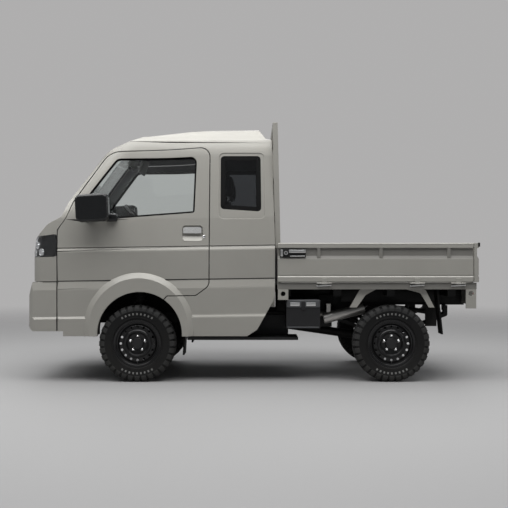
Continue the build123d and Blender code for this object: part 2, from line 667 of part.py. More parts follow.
# Bed hinges: middle, span
GATE_HINGES = [(CAB_BACK_X - 366, 110), (TAIL_X + 467.5, 110), (TAIL_X + 160.5, 110)]
TAIL_HINGES = [(257.5 - HALF_WIDTH, 110), (0, 110), (HALF_WIDTH - 257.5, 110)]
GATE_RIBS = [CAB_BACK_X - 326, CAB_BACK_X - 790, TAIL_X + 230.5]
DECK_CROSS = [CAB_BACK_X - 90, CAB_BACK_X - 470, REAR_AXLE_X, TAIL_X + 197.5]
# Guard crossbars: drop below the top
GUARD_BARS = [0, 407, 657]
HEADBOARD_X = (GATE_X0 - 25, GATE_X0 + 3)


def gate_rows(outer):
    """Section of a bed gate: distance out, z, corner radius."""
    inner = outer - GATE_T
    return [
        (inner, GATE_Z0, 0), (outer, GATE_Z0, 6), (outer, GATE_Z0 + 38, 0), (outer - 6, GATE_Z0 + 46, 0),
        (outer - 2, GATE_Z0 + 54, 0), (outer - 2, GATE_Z1 - 118, 0), (outer - 15, GATE_Z1 - 95, 0),
        (outer - 15, GATE_Z1 - 40, 0), (outer, GATE_Z1 - 36, 0), (outer, GATE_Z1, 8), (inner, GATE_Z1, 8)]


def build_bed():
    floor = block(GATE_X0 + 3, TAILGATE_X + 40, -DECK_Y, DECK_Y, DECK_Z - 22, DECK_Z)
    floor += block(HEADBOARD_X[0] - 5, TAILGATE_X + 42, 3 - DECK_Y, DECK_Y - 3, DECK_Z, DECK_Z + DECK_PANEL)
    for x in DECK_CROSS:
        floor += block(x - 30, x + 30, 32 - DECK_Y, DECK_Y - 32, BED_RAIL_TOP, DECK_Z - 22)
    ears = Part()
    for middle, span in GATE_HINGES:
        for end in (1, -1):
            x0 = middle + end * (span / 6 + 0.4)
            x1 = middle + end * span / 2
            ears += rod((x0, HALF_WIDTH, GATE_HINGE_Z), (x1, HALF_WIDTH, GATE_HINGE_Z), GATE_HINGE_R)
            ears += block(x0, x1, SILL_Y - 5, HALF_WIDTH, GATE_HINGE_Z - 5, GATE_HINGE_Z + 3)
    ears += block(GATE_X0 + 3, TAILGATE_X + 15, DECK_Y - 10, SILL_Y, SILL_LOW_Z, DECK_Z)
    floor += ears + mirrored(ears)
    floor += block(TAILGATE_X + 15, TAILGATE_X + 60, -DECK_Y, DECK_Y, SILL_LOW_Z, DECK_Z)
    for y, span in TAIL_HINGES:
        for end in (1, -1):
            y0 = y + end * (span / 6 + 0.4)
            y1 = y + end * span / 2
            floor += rod((TAILGATE_X, y0, GATE_HINGE_Z), (TAILGATE_X, y1, GATE_HINGE_Z), GATE_HINGE_R)
            floor += block(TAILGATE_X, TAILGATE_X + 20, y0, y1, GATE_HINGE_Z - 5, GATE_HINGE_Z + 3)
    PARTS["bed_floor"] = single(floor)

    gate = cross_prism(gate_rows(HALF_WIDTH), GATE_X1, GATE_X0)
    for x in GATE_RIBS:
        gate += block(x - 12, x + 12, HALF_WIDTH - 20, HALF_WIDTH - 2, GATE_Z1 - 110, GATE_Z1 - 30)
    for middle, span in GATE_HINGES:
        x0, x1 = middle - span / 6, middle + span / 6
        gate += rod((x0, HALF_WIDTH, GATE_HINGE_Z), (x1, HALF_WIDTH, GATE_HINGE_Z), GATE_HINGE_R)
        gate += block(x0, x1, HALF_WIDTH - 6, HALF_WIDTH + 4, GATE_HINGE_Z, GATE_Z0 + 30)
    gate = single(gate)
    PARTS["side_gate_left"] = gate
    PARTS["side_gate_right"] = mirrored(gate)

    rear = Plane.XZ * face_of([(-u, v, r) for u, v, r in gate_rows(-TAILGATE_X)])
    tail = extrude(Pos(0, HALF_WIDTH, 0) * rear, amount=2 * HALF_WIDTH)
    for y, span in TAIL_HINGES:
        y0, y1 = y - span / 6, y + span / 6
        tail += rod((TAILGATE_X, y0, GATE_HINGE_Z), (TAILGATE_X, y1, GATE_HINGE_Z), GATE_HINGE_R)
        tail += block(TAILGATE_X - 4, TAILGATE_X + 6, y0, y1, GATE_HINGE_Z, GATE_Z0 + 30)
    PARTS["tailgate"] = single(tail)

    # Headboard, and the leaning guard over it
    guard_y = DECK_Y - 5
    guard = block(*HEADBOARD_X, -guard_y, guard_y, DECK_Z, GATE_Z1)
    foot_x, top_x = GATE_X0 - 22, GATE_X0
    lean = [(foot_x, GATE_Z1 - 40, 0), (foot_x + GUARD_TUBE, GATE_Z1 - 40, 0),
            (top_x + GUARD_TUBE, GUARD_TOP_Z, 0), (top_x, GUARD_TOP_Z, 0)]
    post = side_prism(lean, guard_y - 2 - GUARD_TUBE, guard_y - 2)
    guard += post + mirrored(post)
    bars = side_prism(lean, 5 - guard_y, guard_y - 5)
    for drop in GUARD_BARS:
        z1 = GUARD_TOP_Z - drop
        guard += bars & block(GATE_X0 - 110, GATE_X0 + 190, -guard_y, guard_y, z1 - GUARD_TUBE, z1)
    PARTS["guard_frame"] = single(guard)


HOUSE_TOP_Z = 705.0
FLOOR_T = 15.0
SEAT_Y = (90.0, HALF_WIDTH - 177.5)
STEER_R = 178.0


def build_cabin(inner_side, inner_shell):
    rear, mid, toe = FRONT_X - 1197.5, FRONT_X - 497.5, FRONT_X - 257.5
    step = RAIL_OUT_Y + 15
    low, high = CAB_RAIL_TOP, HOUSE_TOP_Z
    floor = block(rear, toe, -step, step, low, low + FLOOR_T)
    floor += block(mid, toe, -CAB_IN_Y, CAB_IN_Y, low, low + FLOOR_T)
    house = block(rear, mid + FLOOR_T, step, CAB_IN_Y, low, high)
    house -= block(rear + FLOOR_T, mid, step + FLOOR_T, OUT_Y, low, high - FLOOR_T)
    floor += house + mirrored(house)
    # Seat box over the engine
    x = CAB_BACK_X
    riser = block(x - 30, rear + FLOOR_T, -OUT_Y, OUT_Y, low, 800)
    riser -= block(x + 55, rear, 16 - CAB_IN_Y, CAB_IN_Y - 16, low - 10, 785)
    narrow = block(FRONT_X - 1397.5, FRONT_X, 6 - CAB_IN_Y, CAB_IN_Y - 6, 300, 900)
    wide = block(x - 130, FRONT_X - 1397.5, -OUT_Y, OUT_Y, 300, 900)
    PARTS["cab_floor"] = single((floor + riser) & inner_side & (narrow + wide))

    dash_y = CAB_IN_Y - 36
    dash = side_prism(behind_front([(37.5, 860, 0), (37.5, 1150, 0), (367.5, 1196, 40), (537.5, 1120, 60),
                                    (507.5, 860, 40)]), -dash_y, dash_y)
    PARTS["dashboard"] = single(dash & inner_shell)
    steer_y = -(SEAT_Y[0] + SEAT_Y[1]) / 2
    hub_x, hub_z = FRONT_X - 727.5, 1235
    column = rod((hub_x + 260, steer_y, hub_z - 225), (hub_x + 5, steer_y, hub_z - 4), 28)
    wheel_plane = Plane(origin=(hub_x, steer_y, hub_z), z_dir=(-0.756, 0, 0.654))
    ring = wheel_plane * revolve(Plane.XZ * Pos(STEER_R, 0) * RegularPolygon(14, 6), Axis.Z)
    hub = wheel_plane * Cylinder(52, 34)
    spokes = Box(2 * STEER_R - 16, 30, 14) + Pos(-STEER_R / 2, 0, 0) * Box(STEER_R - 8, 30, 14)
    spokes = wheel_plane * spokes
    PARTS["steering_wheel"] = single((column + ring + hub + spokes) - PARTS["dashboard"])

    x = CAB_BACK_X + 170
    seat = side_prism([(x + 170, 800, 0), (x + 640, 800, 0), (x + 650, 900, 50), (x + 330, 885, 40),
                       (x + 250, 1400, 40), (x + 150, 1400, 40), (x + 175, 900, 0)], *SEAT_Y)
    middle = (SEAT_Y[0] + SEAT_Y[1]) / 2
    seat += side_prism([(x + 235, 1390, 0), (x + 222, 1580, 40), (x + 135, 1580, 40), (x + 155, 1390, 0)],
                       middle - 110, middle + 110)
    seat = single(seat)
    PARTS["seats"] = Compound([seat, mirrored(seat)])


# Lashing brackets: x, lower end, eye height
BRACKETS = [(CAB_BACK_X - 60, 615, 660), (TAIL_X + 63.5, 551, 663)]
# Flaps behind the wheels: outline, inner y, outer y
FLAPS = [
    ([(FRONT_AXLE_X - 360, 500, 0), (FRONT_AXLE_X - 348, 500, 0), (FRONT_AXLE_X - 332, 190, 0),
      (FRONT_AXLE_X - 344, 190, 0)], WHEEL_Y - 240, WHEEL_Y - 40),
    ([(REAR_AXLE_X - 337, DECK_Z - 22, 0), (REAR_AXLE_X - 349, DECK_Z - 22, 0), (REAR_AXLE_X - 389, 355, 0),
      (REAR_AXLE_X - 377, 355, 0)], WHEEL_Y - 80, WHEEL_Y + 50),
]
# Stay over the rear wheel: distance ahead of the axle, drop below the deck plate, corner radius
ARCH_STAY = [
    (313, 163.7, 0), (238, 29.7, 40), (143, 0, 0), (-132, 0, 40), (-257, 29.7, 30), (-324, 163.7, 0),
    (-282, 163.7, 0), (-219, 55.7, 30), (-107, 25.7, 0), (113, 25.7, 0), (193, 69.7, 40), (259, 163.7, 0),
]
# Mirror head: distance behind the front, z, corner radius
MIRROR_ROWS = [(407.5, 1190, 40), (396.5, 1390, 40), (637.5, 1406, 40), (647.5, 1200, 40)]


def build_outside():
    stay_z = DECK_Z - 22 - FIT
    stay = side_prism([(REAR_AXLE_X + ahead, stay_z - drop, r) for ahead, drop, r in ARCH_STAY],
                      DECK_Y - 28, DECK_Y - 10)
    stay = single(stay)
    PARTS["rear_arches"] = Compound([stay, mirrored(stay)])

    # Door mirrors on their arms
    head = side_prism(behind_front(MIRROR_ROWS), HALF_WIDTH + 42.5, HALF_WIDTH + 152.5)
    head = fillet(head.edges().group_by(Axis.Y)[-1], 22)
    head += block(FRONT_X - 517.5, FRONT_X - 457.5, HALF_WIDTH - 57.5, HALF_WIDTH + 62.5, 1206, 1246)
    head = single(head - PARTS["door_left"] - PARTS["door_glass_left"])
    PARTS["mirror_left"] = head
    PARTS["mirror_right"] = mirrored(head)

    plates = []
    for x, low, eye in BRACKETS:
        plate = block(x - 39, x + 39, SILL_Y - 10, SILL_Y, low, SILL_LOW_Z)
        plate -= Pos(x, SILL_Y - 5, eye) * Rot(90, 0, 0) * Cylinder(EYE_R, 60)
        plates += [single(plate), mirrored(single(plate))]
    PARTS["lashing_brackets"] = Compound(plates)

    flaps = []
    for rows, y0, y1 in FLAPS:
        flap = single(side_prism(rows, y0, y1))
        flaps += [flap, mirrored(flap)]
    PARTS["mudflaps"] = Compound(flaps)
    bar_x = TAIL_X + 21.5
    bar = block(bar_x, bar_x + 36, 137.5 - HALF_WIDTH, HALF_WIDTH - 137.5, 575, SILL_LOW_Z)
    PARTS["tail_bar"] = single(bar - PARTS["ladder_frame"] - PARTS["bed_floor"])
    lamp = block(bar_x - 6, bar_x, HALF_WIDTH - 357.5, HALF_WIDTH - 147.5, 580, 680)
    PARTS["tail_lamps"] = Compound([lamp, mirrored(lamp)])


cab_room, shell_room = build_cab()
build_wheels()
build_running_gear()
build_frame()
build_bed()
build_cabin(cab_room, shell_room)
build_outside()

os.makedirs("parts", exist_ok=True)
for name, shape in PARTS.items():
    shape.label = name
    export_step(shape, f"parts/{name}.step")
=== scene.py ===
# %% [markdown]
# # A small drop-side truck, dressed for its portrait
# The solids of the truck come in already built, at their real size and place, and nothing here moves
# them. This lesson gives every surface its finish and adds the trim that is too fine for the solids.

# %% Load the frame
import json
from math import cos, pi, radians, sin

import bmesh
import bpy
from mathutils import Matrix, Vector
from mathutils.bvhtree import BVHTree

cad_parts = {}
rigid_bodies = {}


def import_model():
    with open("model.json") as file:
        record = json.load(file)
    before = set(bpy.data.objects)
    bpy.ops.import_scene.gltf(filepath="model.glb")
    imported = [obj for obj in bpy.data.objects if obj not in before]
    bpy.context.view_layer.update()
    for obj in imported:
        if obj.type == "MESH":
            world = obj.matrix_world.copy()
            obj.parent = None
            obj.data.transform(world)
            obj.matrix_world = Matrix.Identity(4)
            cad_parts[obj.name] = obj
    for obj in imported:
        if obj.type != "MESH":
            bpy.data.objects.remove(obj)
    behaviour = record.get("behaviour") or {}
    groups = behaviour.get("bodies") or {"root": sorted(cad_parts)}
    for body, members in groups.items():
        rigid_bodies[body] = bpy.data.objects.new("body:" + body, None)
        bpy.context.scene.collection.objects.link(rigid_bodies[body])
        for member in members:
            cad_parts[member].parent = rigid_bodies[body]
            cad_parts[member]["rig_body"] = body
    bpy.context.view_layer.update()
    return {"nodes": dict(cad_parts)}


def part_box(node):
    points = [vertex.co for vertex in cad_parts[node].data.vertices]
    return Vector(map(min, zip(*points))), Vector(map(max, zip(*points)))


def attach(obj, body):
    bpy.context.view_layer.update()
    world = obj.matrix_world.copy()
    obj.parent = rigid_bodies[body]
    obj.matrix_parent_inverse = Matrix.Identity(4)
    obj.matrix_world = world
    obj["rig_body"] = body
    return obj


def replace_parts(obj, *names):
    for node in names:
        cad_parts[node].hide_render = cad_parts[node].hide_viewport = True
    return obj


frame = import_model()

# %% [markdown]
# ## Where the camera stands
# The photograph was taken square to the left side with a long lens, level, about seven metres away. A
# level camera keeps the pillars upright, so no shift is needed: only its height and distance are set.

# %% Camera
PICTURE_WIDTH = 3.786
CAMERA_DISTANCE = 6.9
CAMERA_X = -0.0123
CAMERA_Z = 0.958
NEAR_SIDE = 0.7375
SENSOR = 36.0


def place_camera():
    lens = bpy.data.cameras.new("camera")
    lens.sensor_width = SENSOR
    lens.lens = SENSOR * CAMERA_DISTANCE / PICTURE_WIDTH
    camera = bpy.data.objects.new("camera", lens)
    camera.location = (CAMERA_X, NEAR_SIDE + CAMERA_DISTANCE, CAMERA_Z)
    camera.rotation_euler = (radians(90), 0, radians(180))
    bpy.context.scene.collection.objects.link(camera)
    bpy.context.scene.camera = camera
    return camera


print("lens", round(place_camera().data.lens, 1), "mm")

# %% [markdown]
# ## The studio
# A pale floor that fades into an even backdrop has no corner to distract from the truck, from whichever
# side it is seen. Wide soft lamps overhead and on both sides make the bright ledges, and weaker ones open
# up the nose and the tail.

# %% Floor and light
FLOOR_RADIUS = 16.0
FADE_START = 2.6
FADE_END = 11.0
FLOOR_TONE = (0.29, 0.288, 0.288, 1)
BACKDROP = (0.43, 0.425, 0.425, 1)
AIR_TONE = (0.95, 0.97, 1.0, 1)
AIR_STRENGTH = 0.19
# Lamp: place, aim, size, watts
SOFTBOXES = {
    "overhead": ((0.0, 0.0, 5.4), (0.0, 0.0, 0.4), (8.0, 4.0), 250),
    "near_key": ((0.3, 3.7, 6.6), (0.0, 0.6, 0.9), (9.0, 4.0), 520),
    "far_key": ((0.3, -5.4, 6.2), (0.0, -0.6, 0.8), (9.0, 4.0), 200),
    "nose_fill": ((5.0, 1.4, 4.8), (0.9, 0.2, 1.3), (2.4, 2.0), 90),
    "tail_fill": ((-5.8, 1.2, 3.2), (-0.8, 0.0, 0.8), (2.4, 2.0), 60),
}
scene = bpy.context.scene
scene.view_settings.view_transform = "Standard"


def link_object(name, mesh):
    made = bpy.data.objects.new(name, mesh)
    bpy.context.scene.collection.objects.link(made)
    return made


def add_node(tree, kind, settings=None, sockets=None):
    node = tree.nodes.new("ShaderNode" + kind)
    for key, value in (settings or {}).items():
        setattr(node, key, value)
    for key, value in (sockets or {}).items():
        node.inputs[key].default_value = value
    return node


def wire(tree, start, output, end, entry):
    tree.links.new(start.outputs[output], end.inputs[entry])


def studio_floor():
    bm = bmesh.new()
    bmesh.ops.create_circle(bm, cap_ends=True, segments=96, radius=FLOOR_RADIUS)
    mesh = bpy.data.meshes.new("studio_floor")
    bm.to_mesh(mesh)
    bm.free()
    return link_object("studio_floor", mesh)


def studio_paper():
    """Matt floor that turns clear toward its rim."""
    paper = bpy.data.materials.new("studio_paper")
    paper.use_nodes = True
    tree = paper.node_tree
    shader = tree.nodes["Principled BSDF"]
    shader.inputs["Base Color"].default_value = FLOOR_TONE
    shader.inputs["Roughness"].default_value = 0.6
    shader.inputs["Specular IOR Level"].default_value = 0.3
    place = add_node(tree, "TexCoord")
    reach = add_node(tree, "VectorMath", {"operation": "LENGTH"})
    fade = add_node(tree, "MapRange", {"interpolation_type": "SMOOTHSTEP"},
                    {"From Min": FADE_START, "From Max": FADE_END})
    clear = add_node(tree, "BsdfTransparent")
    mix = add_node(tree, "MixShader")
    wire(tree, place, "Object", reach, 0)
    wire(tree, reach, "Value", fade, "Value")
    wire(tree, fade, "Result", mix, "Fac")
    wire(tree, shader, "BSDF", mix, 1)
    wire(tree, clear, "BSDF", mix, 2)
    tree.links.new(mix.outputs["Shader"], tree.nodes["Material Output"].inputs["Surface"])
    return paper


def softbox(name, at, aim, size, watts):
    lamp = bpy.data.lights.new(name, "AREA")
    lamp.shape = "RECTANGLE"
    lamp.size, lamp.size_y = size
    lamp.energy = watts
    made = bpy.data.objects.new(name, lamp)
    made.location = at
    made.rotation_euler = (Vector(aim) - Vector(at)).to_track_quat("-Z", "Y").to_euler()
    bpy.context.scene.collection.objects.link(made)


def studio_air():
    """Even light from all round, and a plain backdrop for the camera, straight or through glass."""
    world = bpy.data.worlds.new("studio_air")
    world.use_nodes = True
    tree = world.node_tree
    light = tree.nodes["Background"]
    light.inputs["Color"].default_value = AIR_TONE
    light.inputs["Strength"].default_value = AIR_STRENGTH
    seen = add_node(tree, "Background", sockets={"Color": BACKDROP})
    ray = add_node(tree, "LightPath")
    either = add_node(tree, "Math", {"operation": "MAXIMUM"})
    mix = add_node(tree, "MixShader")
    wire(tree, ray, "Is Camera Ray", either, 0)
    wire(tree, ray, "Is Transmission Ray", either, 1)
    wire(tree, either, "Value", mix, "Fac")
    wire(tree, light, "Background", mix, 1)
    wire(tree, seen, "Background", mix, 2)
    tree.links.new(mix.outputs["Shader"], tree.nodes["World Output"].inputs["Surface"])
    return world


floor = studio_floor()
floor.data.materials.append(studio_paper())
for name, settings in SOFTBOXES.items():
    softbox(name, *settings)
scene.world = studio_air()
print("studio lamps", len(SOFTBOXES))

# %% [markdown]
# ## Effects that several finishes share
# A node group is a recipe that is built once and placed in many materials with its own numbers. Grain
# gives a fine uneven height and tone. Road dust gathers low on the truck and thins out upward.

# %% Node groups


def new_group(name, inputs, outputs):
    tree = bpy.data.node_groups.new(name, "ShaderNodeTree")
    for label, value in inputs:
        tree.interface.new_socket(label, in_out="INPUT", socket_type="NodeSocketFloat").default_value = value
    for label in outputs:
        tree.interface.new_socket(label, in_out="OUTPUT", socket_type="NodeSocketFloat")
    return tree, tree.nodes.new("NodeGroupInput"), tree.nodes.new("NodeGroupOutput")


def grain_group():
    tree, start, end = new_group("grain", [("Scale", 300.0)], ["Height", "Tone"])
    place = add_node(tree, "TexCoord")
    fine = add_node(tree, "TexNoise", sockets={"Detail": 4.0, "Roughness": 0.6})
    broad = add_node(tree, "TexNoise", sockets={"Scale": 3.5, "Detail": 3.0})
    spread = add_node(tree, "MapRange", sockets={"From Min": 0.3, "From Max": 0.7})
    wire(tree, place, "Object", fine, "Vector")
    wire(tree, place, "Object", broad, "Vector")
    wire(tree, start, "Scale", fine, "Scale")
    wire(tree, fine, "Fac", end, "Height")
    wire(tree, broad, "Fac", spread, "Value")
    wire(tree, spread, "Result", end, "Tone")
    return tree


def dust_group():
    tree, start, end = new_group("road_dust", [("Top", 0.55), ("Amount", 0.3)], ["Mask"])
    place = add_node(tree, "TexCoord")
    split = add_node(tree, "SeparateXYZ")
    fade = add_node(tree, "MapRange", sockets={"From Min": 0.0, "To Min": 1.0, "To Max": 0.0})
    cloud = add_node(tree, "TexNoise", sockets={"Scale": 9.0, "Detail": 6.0, "Roughness": 0.7})
    mix = add_node(tree, "Math", {"operation": "MULTIPLY"})
    scale = add_node(tree, "Math", {"operation": "MULTIPLY", "use_clamp": True})
    wire(tree, place, "Object", split, "Vector")
    wire(tree, place, "Object", cloud, "Vector")
    wire(tree, split, "Z", fade, "Value")
    wire(tree, start, "Top", fade, "From Max")
    wire(tree, fade, "Result", mix, 0)
    wire(tree, cloud, "Fac", mix, 1)
    wire(tree, mix, "Value", scale, 0)
    wire(tree, start, "Amount", scale, 1)
    wire(tree, scale, "Value", end, "Mask")
    return tree


GRAIN = grain_group()
DUST = dust_group()
DUST_COLOUR = (0.30, 0.27, 0.23, 1)
print("node groups", [group.name for group in bpy.data.node_groups])

# %% [markdown]
# ## Finishes
# Each finish is one Principled shader. Its colour wanders a little between two tones, its roughness
# follows the same grain, and a bump far below a millimetre breaks up the reflections the way the real
# surface does.

# %% Finish maker
FINISHES = {}


def finish(name, tone_a, tone_b, rough, scale=300.0, bump=0.0, dust=0.0, dust_top=0.55, sockets=None):
    """Material with two close tones, grain in its roughness and height, and dust low down."""
    made = bpy.data.materials.new(name)
    made.use_nodes = True
    tree = made.node_tree
    shader = tree.nodes["Principled BSDF"]
    grain = tree.nodes.new("ShaderNodeGroup")
    grain.node_tree = GRAIN
    grain.inputs["Scale"].default_value = scale
    tones = add_node(tree, "Mix", {"data_type": "RGBA"})
    tones.inputs["A"].default_value = (*tone_a, 1)
    tones.inputs["B"].default_value = (*tone_b, 1)
    wire(tree, grain, "Tone", tones, "Factor")
    colour = tones.outputs["Result"]
    spread = add_node(tree, "MapRange", sockets={"To Min": rough[0], "To Max": rough[1]})
    wire(tree, grain, "Height", spread, "Value")
    if dust:
        film = tree.nodes.new("ShaderNodeGroup")
        film.node_tree = DUST
        film.inputs["Top"].default_value = dust_top
        film.inputs["Amount"].default_value = dust
        over = add_node(tree, "Mix", {"data_type": "RGBA"})
        over.inputs["B"].default_value = DUST_COLOUR
        wire(tree, film, "Mask", over, "Factor")
        tree.links.new(colour, over.inputs["A"])
        colour = over.outputs["Result"]
    tree.links.new(colour, shader.inputs["Base Color"])
    wire(tree, spread, "Result", shader, "Roughness")
    if bump:
        relief = add_node(tree, "Bump", sockets={"Strength": 1.0, "Distance": bump})
        wire(tree, grain, "Height", relief, "Height")
        wire(tree, relief, "Normal", shader, "Normal")
    for key, value in (sockets or {}).items():
        shader.inputs[key].default_value = value
    FINISHES[name] = made
    return made


def pane(name, colour):
    """Clear or smoked glass."""
    made = bpy.data.materials.new(name)
    made.use_nodes = True
    shader = made.node_tree.nodes["Principled BSDF"]
    shader.inputs["Base Color"].default_value = (*colour, 1)
    shader.inputs["Roughness"].default_value = 0.01
    shader.inputs["IOR"].default_value = 1.45
    shader.inputs["Transmission Weight"].default_value = 1.0
    FINISHES[name] = made
    return made


# %% The truck's finishes
finish("metallic_paint", (0.300, 0.291, 0.264), (0.318, 0.309, 0.281), (0.44, 0.54), 2400.0,
       bump=0.000004, dust=0.08, dust_top=0.5,
       sockets={"Metallic": 0.25, "Coat Weight": 0.35, "Coat Roughness": 0.12})
# Painted shade: the body colour darkened for the gates' sunk band and ledge and the sill face under the
# gates.
finish("paint_in_painted_shade", (0.150, 0.145, 0.132), (0.165, 0.160, 0.146), (0.50, 0.60), 2400.0, bump=0.000004)
finish("silencer_steel", (0.42, 0.41, 0.39), (0.55, 0.54, 0.51), (0.28, 0.45), 300.0,
       bump=0.00005, dust=0.10, dust_top=0.7, sockets={"Metallic": 0.9})
finish("tread_rubber", (0.014, 0.014, 0.014), (0.024, 0.024, 0.0235), (0.60, 0.85), 420.0,
       bump=0.0002, dust=0.05, dust_top=0.5, sockets={"Specular IOR Level": 0.3})
finish("box_grey", (0.050, 0.052, 0.055), (0.062, 0.064, 0.067), (0.40, 0.55), 900.0, bump=0.00005)
# Painted shade: a dark body tone for the narrow step under the cab's pressed lines.
finish("painted_crease_shade", (0.030, 0.029, 0.027), (0.036, 0.035, 0.033), (0.5, 0.6), 2400.0)
finish("satin_silver", (0.62, 0.62, 0.61), (0.68, 0.68, 0.67), (0.22, 0.32), 900.0,
       sockets={"Metallic": 0.55})
finish("pale_rubber", (0.13, 0.13, 0.125), (0.17, 0.17, 0.165), (0.6, 0.8), 420.0, bump=0.0001)
finish("tyre_rubber", (0.004, 0.004, 0.0043), (0.007, 0.007, 0.007), (0.50, 0.75), 420.0,
       bump=0.0001, dust=0.03, dust_top=0.5, sockets={"Specular IOR Level": 0.2})
finish("wheel_black", (0.003, 0.003, 0.0035), (0.005, 0.005, 0.0055), (0.24, 0.36), 700.0,
       bump=0.00002, dust=0.02, dust_top=0.5,
       sockets={"Specular IOR Level": 0.25, "Coat Weight": 0.35, "Coat Roughness": 0.08})
finish("mirror_black", (0.007, 0.0075, 0.008), (0.010, 0.0105, 0.011), (0.18, 0.26), 900.0,
       bump=0.00002, sockets={"Specular IOR Level": 0.4})
finish("bright_zinc", (0.62, 0.62, 0.61), (0.74, 0.74, 0.73), (0.22, 0.40), 600.0,
       bump=0.00003, sockets={"Metallic": 1.0})
finish("chrome", (0.80, 0.80, 0.80), (0.86, 0.86, 0.86), (0.06, 0.12), 900.0, sockets={"Metallic": 1.0})
finish("black_plastic", (0.008, 0.008, 0.009), (0.013, 0.013, 0.014), (0.38, 0.55), 900.0,
       bump=0.00006, dust=0.04, dust_top=0.5, sockets={"Specular IOR Level": 0.35})
finish("black_rubber", (0.003, 0.003, 0.003), (0.006, 0.006, 0.006), (0.50, 0.70), 500.0,
       bump=0.00006, dust=0.03, dust_top=0.5, sockets={"Specular IOR Level": 0.12})
finish("trim_plastic", (0.130, 0.132, 0.137), (0.155, 0.157, 0.162), (0.55, 0.75), 1200.0, bump=0.00008)
finish("lining", (0.30, 0.30, 0.29), (0.36, 0.36, 0.35), (0.75, 0.90), 900.0, bump=0.0002)
finish("seat_cloth", (0.050, 0.050, 0.052), (0.080, 0.080, 0.082), (0.80, 0.95), 1500.0,
       bump=0.0004, sockets={"Sheen Weight": 0.3})
finish("chassis_black", (0.006, 0.006, 0.006), (0.012, 0.0115, 0.011), (0.45, 0.65), 260.0,
       bump=0.0001, dust=0.06, dust_top=0.6, sockets={"Specular IOR Level": 0.25})
finish("exhaust_steel", (0.30, 0.29, 0.27), (0.42, 0.40, 0.37), (0.35, 0.55), 300.0,
       bump=0.00005, dust=0.25, dust_top=0.7, sockets={"Metallic": 0.9})
finish("red_lens", (0.42, 0.008, 0.008), (0.50, 0.012, 0.012), (0.06, 0.12), 200.0,
       sockets={"Coat Weight": 1.0})
finish("amber_lens", (0.62, 0.20, 0.01), (0.68, 0.24, 0.015), (0.06, 0.12), 200.0,
       sockets={"Coat Weight": 1.0})
finish("plate_white", (0.74, 0.74, 0.72), (0.80, 0.80, 0.78), (0.35, 0.45), 300.0, bump=0.00002)
pane("clear_glass", (0.93, 0.96, 0.95))
pane("smoked_glass", (0.24, 0.25, 0.26))
pane("lamp_glass", (0.80, 0.81, 0.82))
print("finishes", len(FINISHES))

# %% [markdown]
# ## Working on copies of the solids
# The solids are loose triangles, so a copy is welded first and its flat triangles become whole faces
# again. A narrow bevel along every fold, with normals weighted by face size, gives pressed steel its soft
# bright edges.

# %% Copies with rounded edges
WELD = 0.00002
FLAT = radians(0.6)
FOLD = radians(8)
ROOF_FOLD = radians(22)
# Limits of the faces that take a painted shade: the step under a crease on the cab, and the sunk band and the
# ledge of a gate.
BED_FRONT_X = -0.18
STEP_OUT_Y = 0.69
STEP_AREA = 0.02
STEP_Z = (0.7, 1.1)
BAND_Y = (0.70, 0.739)
BAND_Z = (0.94, 1.0)
LEDGE_Z = (0.93, 0.96)
PANE_GAP = 0.006
# Cosine above which a face counts as looking some way
TOWARD = 0.35


def copy_mesh(node):
    bm = bmesh.new()
    bm.from_mesh(frame["nodes"][node].data)
    bmesh.ops.remove_doubles(bm, verts=bm.verts[:], dist=WELD)
    bmesh.ops.dissolve_limit(bm, angle_limit=FLAT, use_dissolve_boundaries=False,
                             verts=bm.verts[:], edges=bm.edges[:], delimit={"NORMAL"})
    return bm


def body_of(node):
    return frame["nodes"][node]["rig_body"]


def make_piece(bm, name, finishes, body, fold=FOLD):
    """Mesh object from a bmesh, shaded smooth except at its folds, riding on a body."""
    mesh = bpy.data.meshes.new(name)
    bm.to_mesh(mesh)
    bm.free()
    for label in finishes:
        mesh.materials.append(FINISHES[label])
    mesh.polygons.foreach_set("use_smooth", [True] * len(mesh.polygons))
    mesh.set_sharp_from_angle(angle=fold)
    made = link_object(name, mesh)
    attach(made, body)
    return made


def weigh_folds(bm, sharp, wide, run, least=FOLD):
    """Bevel weight for each fold: long shallow folds round off wide, and the others stay sharp."""
    weight = bm.edges.layers.float.new("bevel_weight_edge")
    for line in bm.edges:
        fold = line.calc_face_angle(0) if line.is_manifold else 0
        if fold < least:
            continue
        soft = line.calc_length() > run and fold < radians(50)
        line[weight] = 1.0 if soft else sharp / wide


def soften(piece, width, segments=3):
    bevel = piece.modifiers.new("edge", "BEVEL")
    bevel.limit_method = "WEIGHT"
    bevel.width = width
    bevel.segments = segments
    bevel.use_clamp_overlap = False
    weigh = piece.modifiers.new("normals", "WEIGHTED_NORMAL")
    weigh.weight = 60
    piece.data.set_sharp_from_angle(angle=radians(180))
    return piece


def skin(node, finishes, sharp, wide, run, inside=None, glass=None):
    """Softened copy that stands for a solid. Faces that look inside take the second finish, the edge of the
    opening round a pane takes the third, and the faces that take a painted shade, under a crease or in a
    gate's sunk band and ledge, take the fourth."""
    bm = copy_mesh(node)
    weigh_folds(bm, sharp, wide, run, ROOF_FOLD if node == "cab_roof" else FOLD)
    for face in bm.faces:
        if inside and face.normal.dot(Vector(inside)) > TOWARD:
            face.material_index = 1
        elif glass and lines_opening(face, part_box(glass)):
            face.material_index = 2
        # The step under a crease, and a gate's sunk band and ledge, take the fourth finish, a painted shade.
        elif painted_shade_face(face):
            face.material_index = 3
    if inside:
        bend(bm, node)
    piece = make_piece(bm, node + "_skin", finishes, body_of(node))
    soften(piece, wide)
    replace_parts(piece, node)
    return piece


def within(value, limits):
    return limits[0] < value < limits[1]


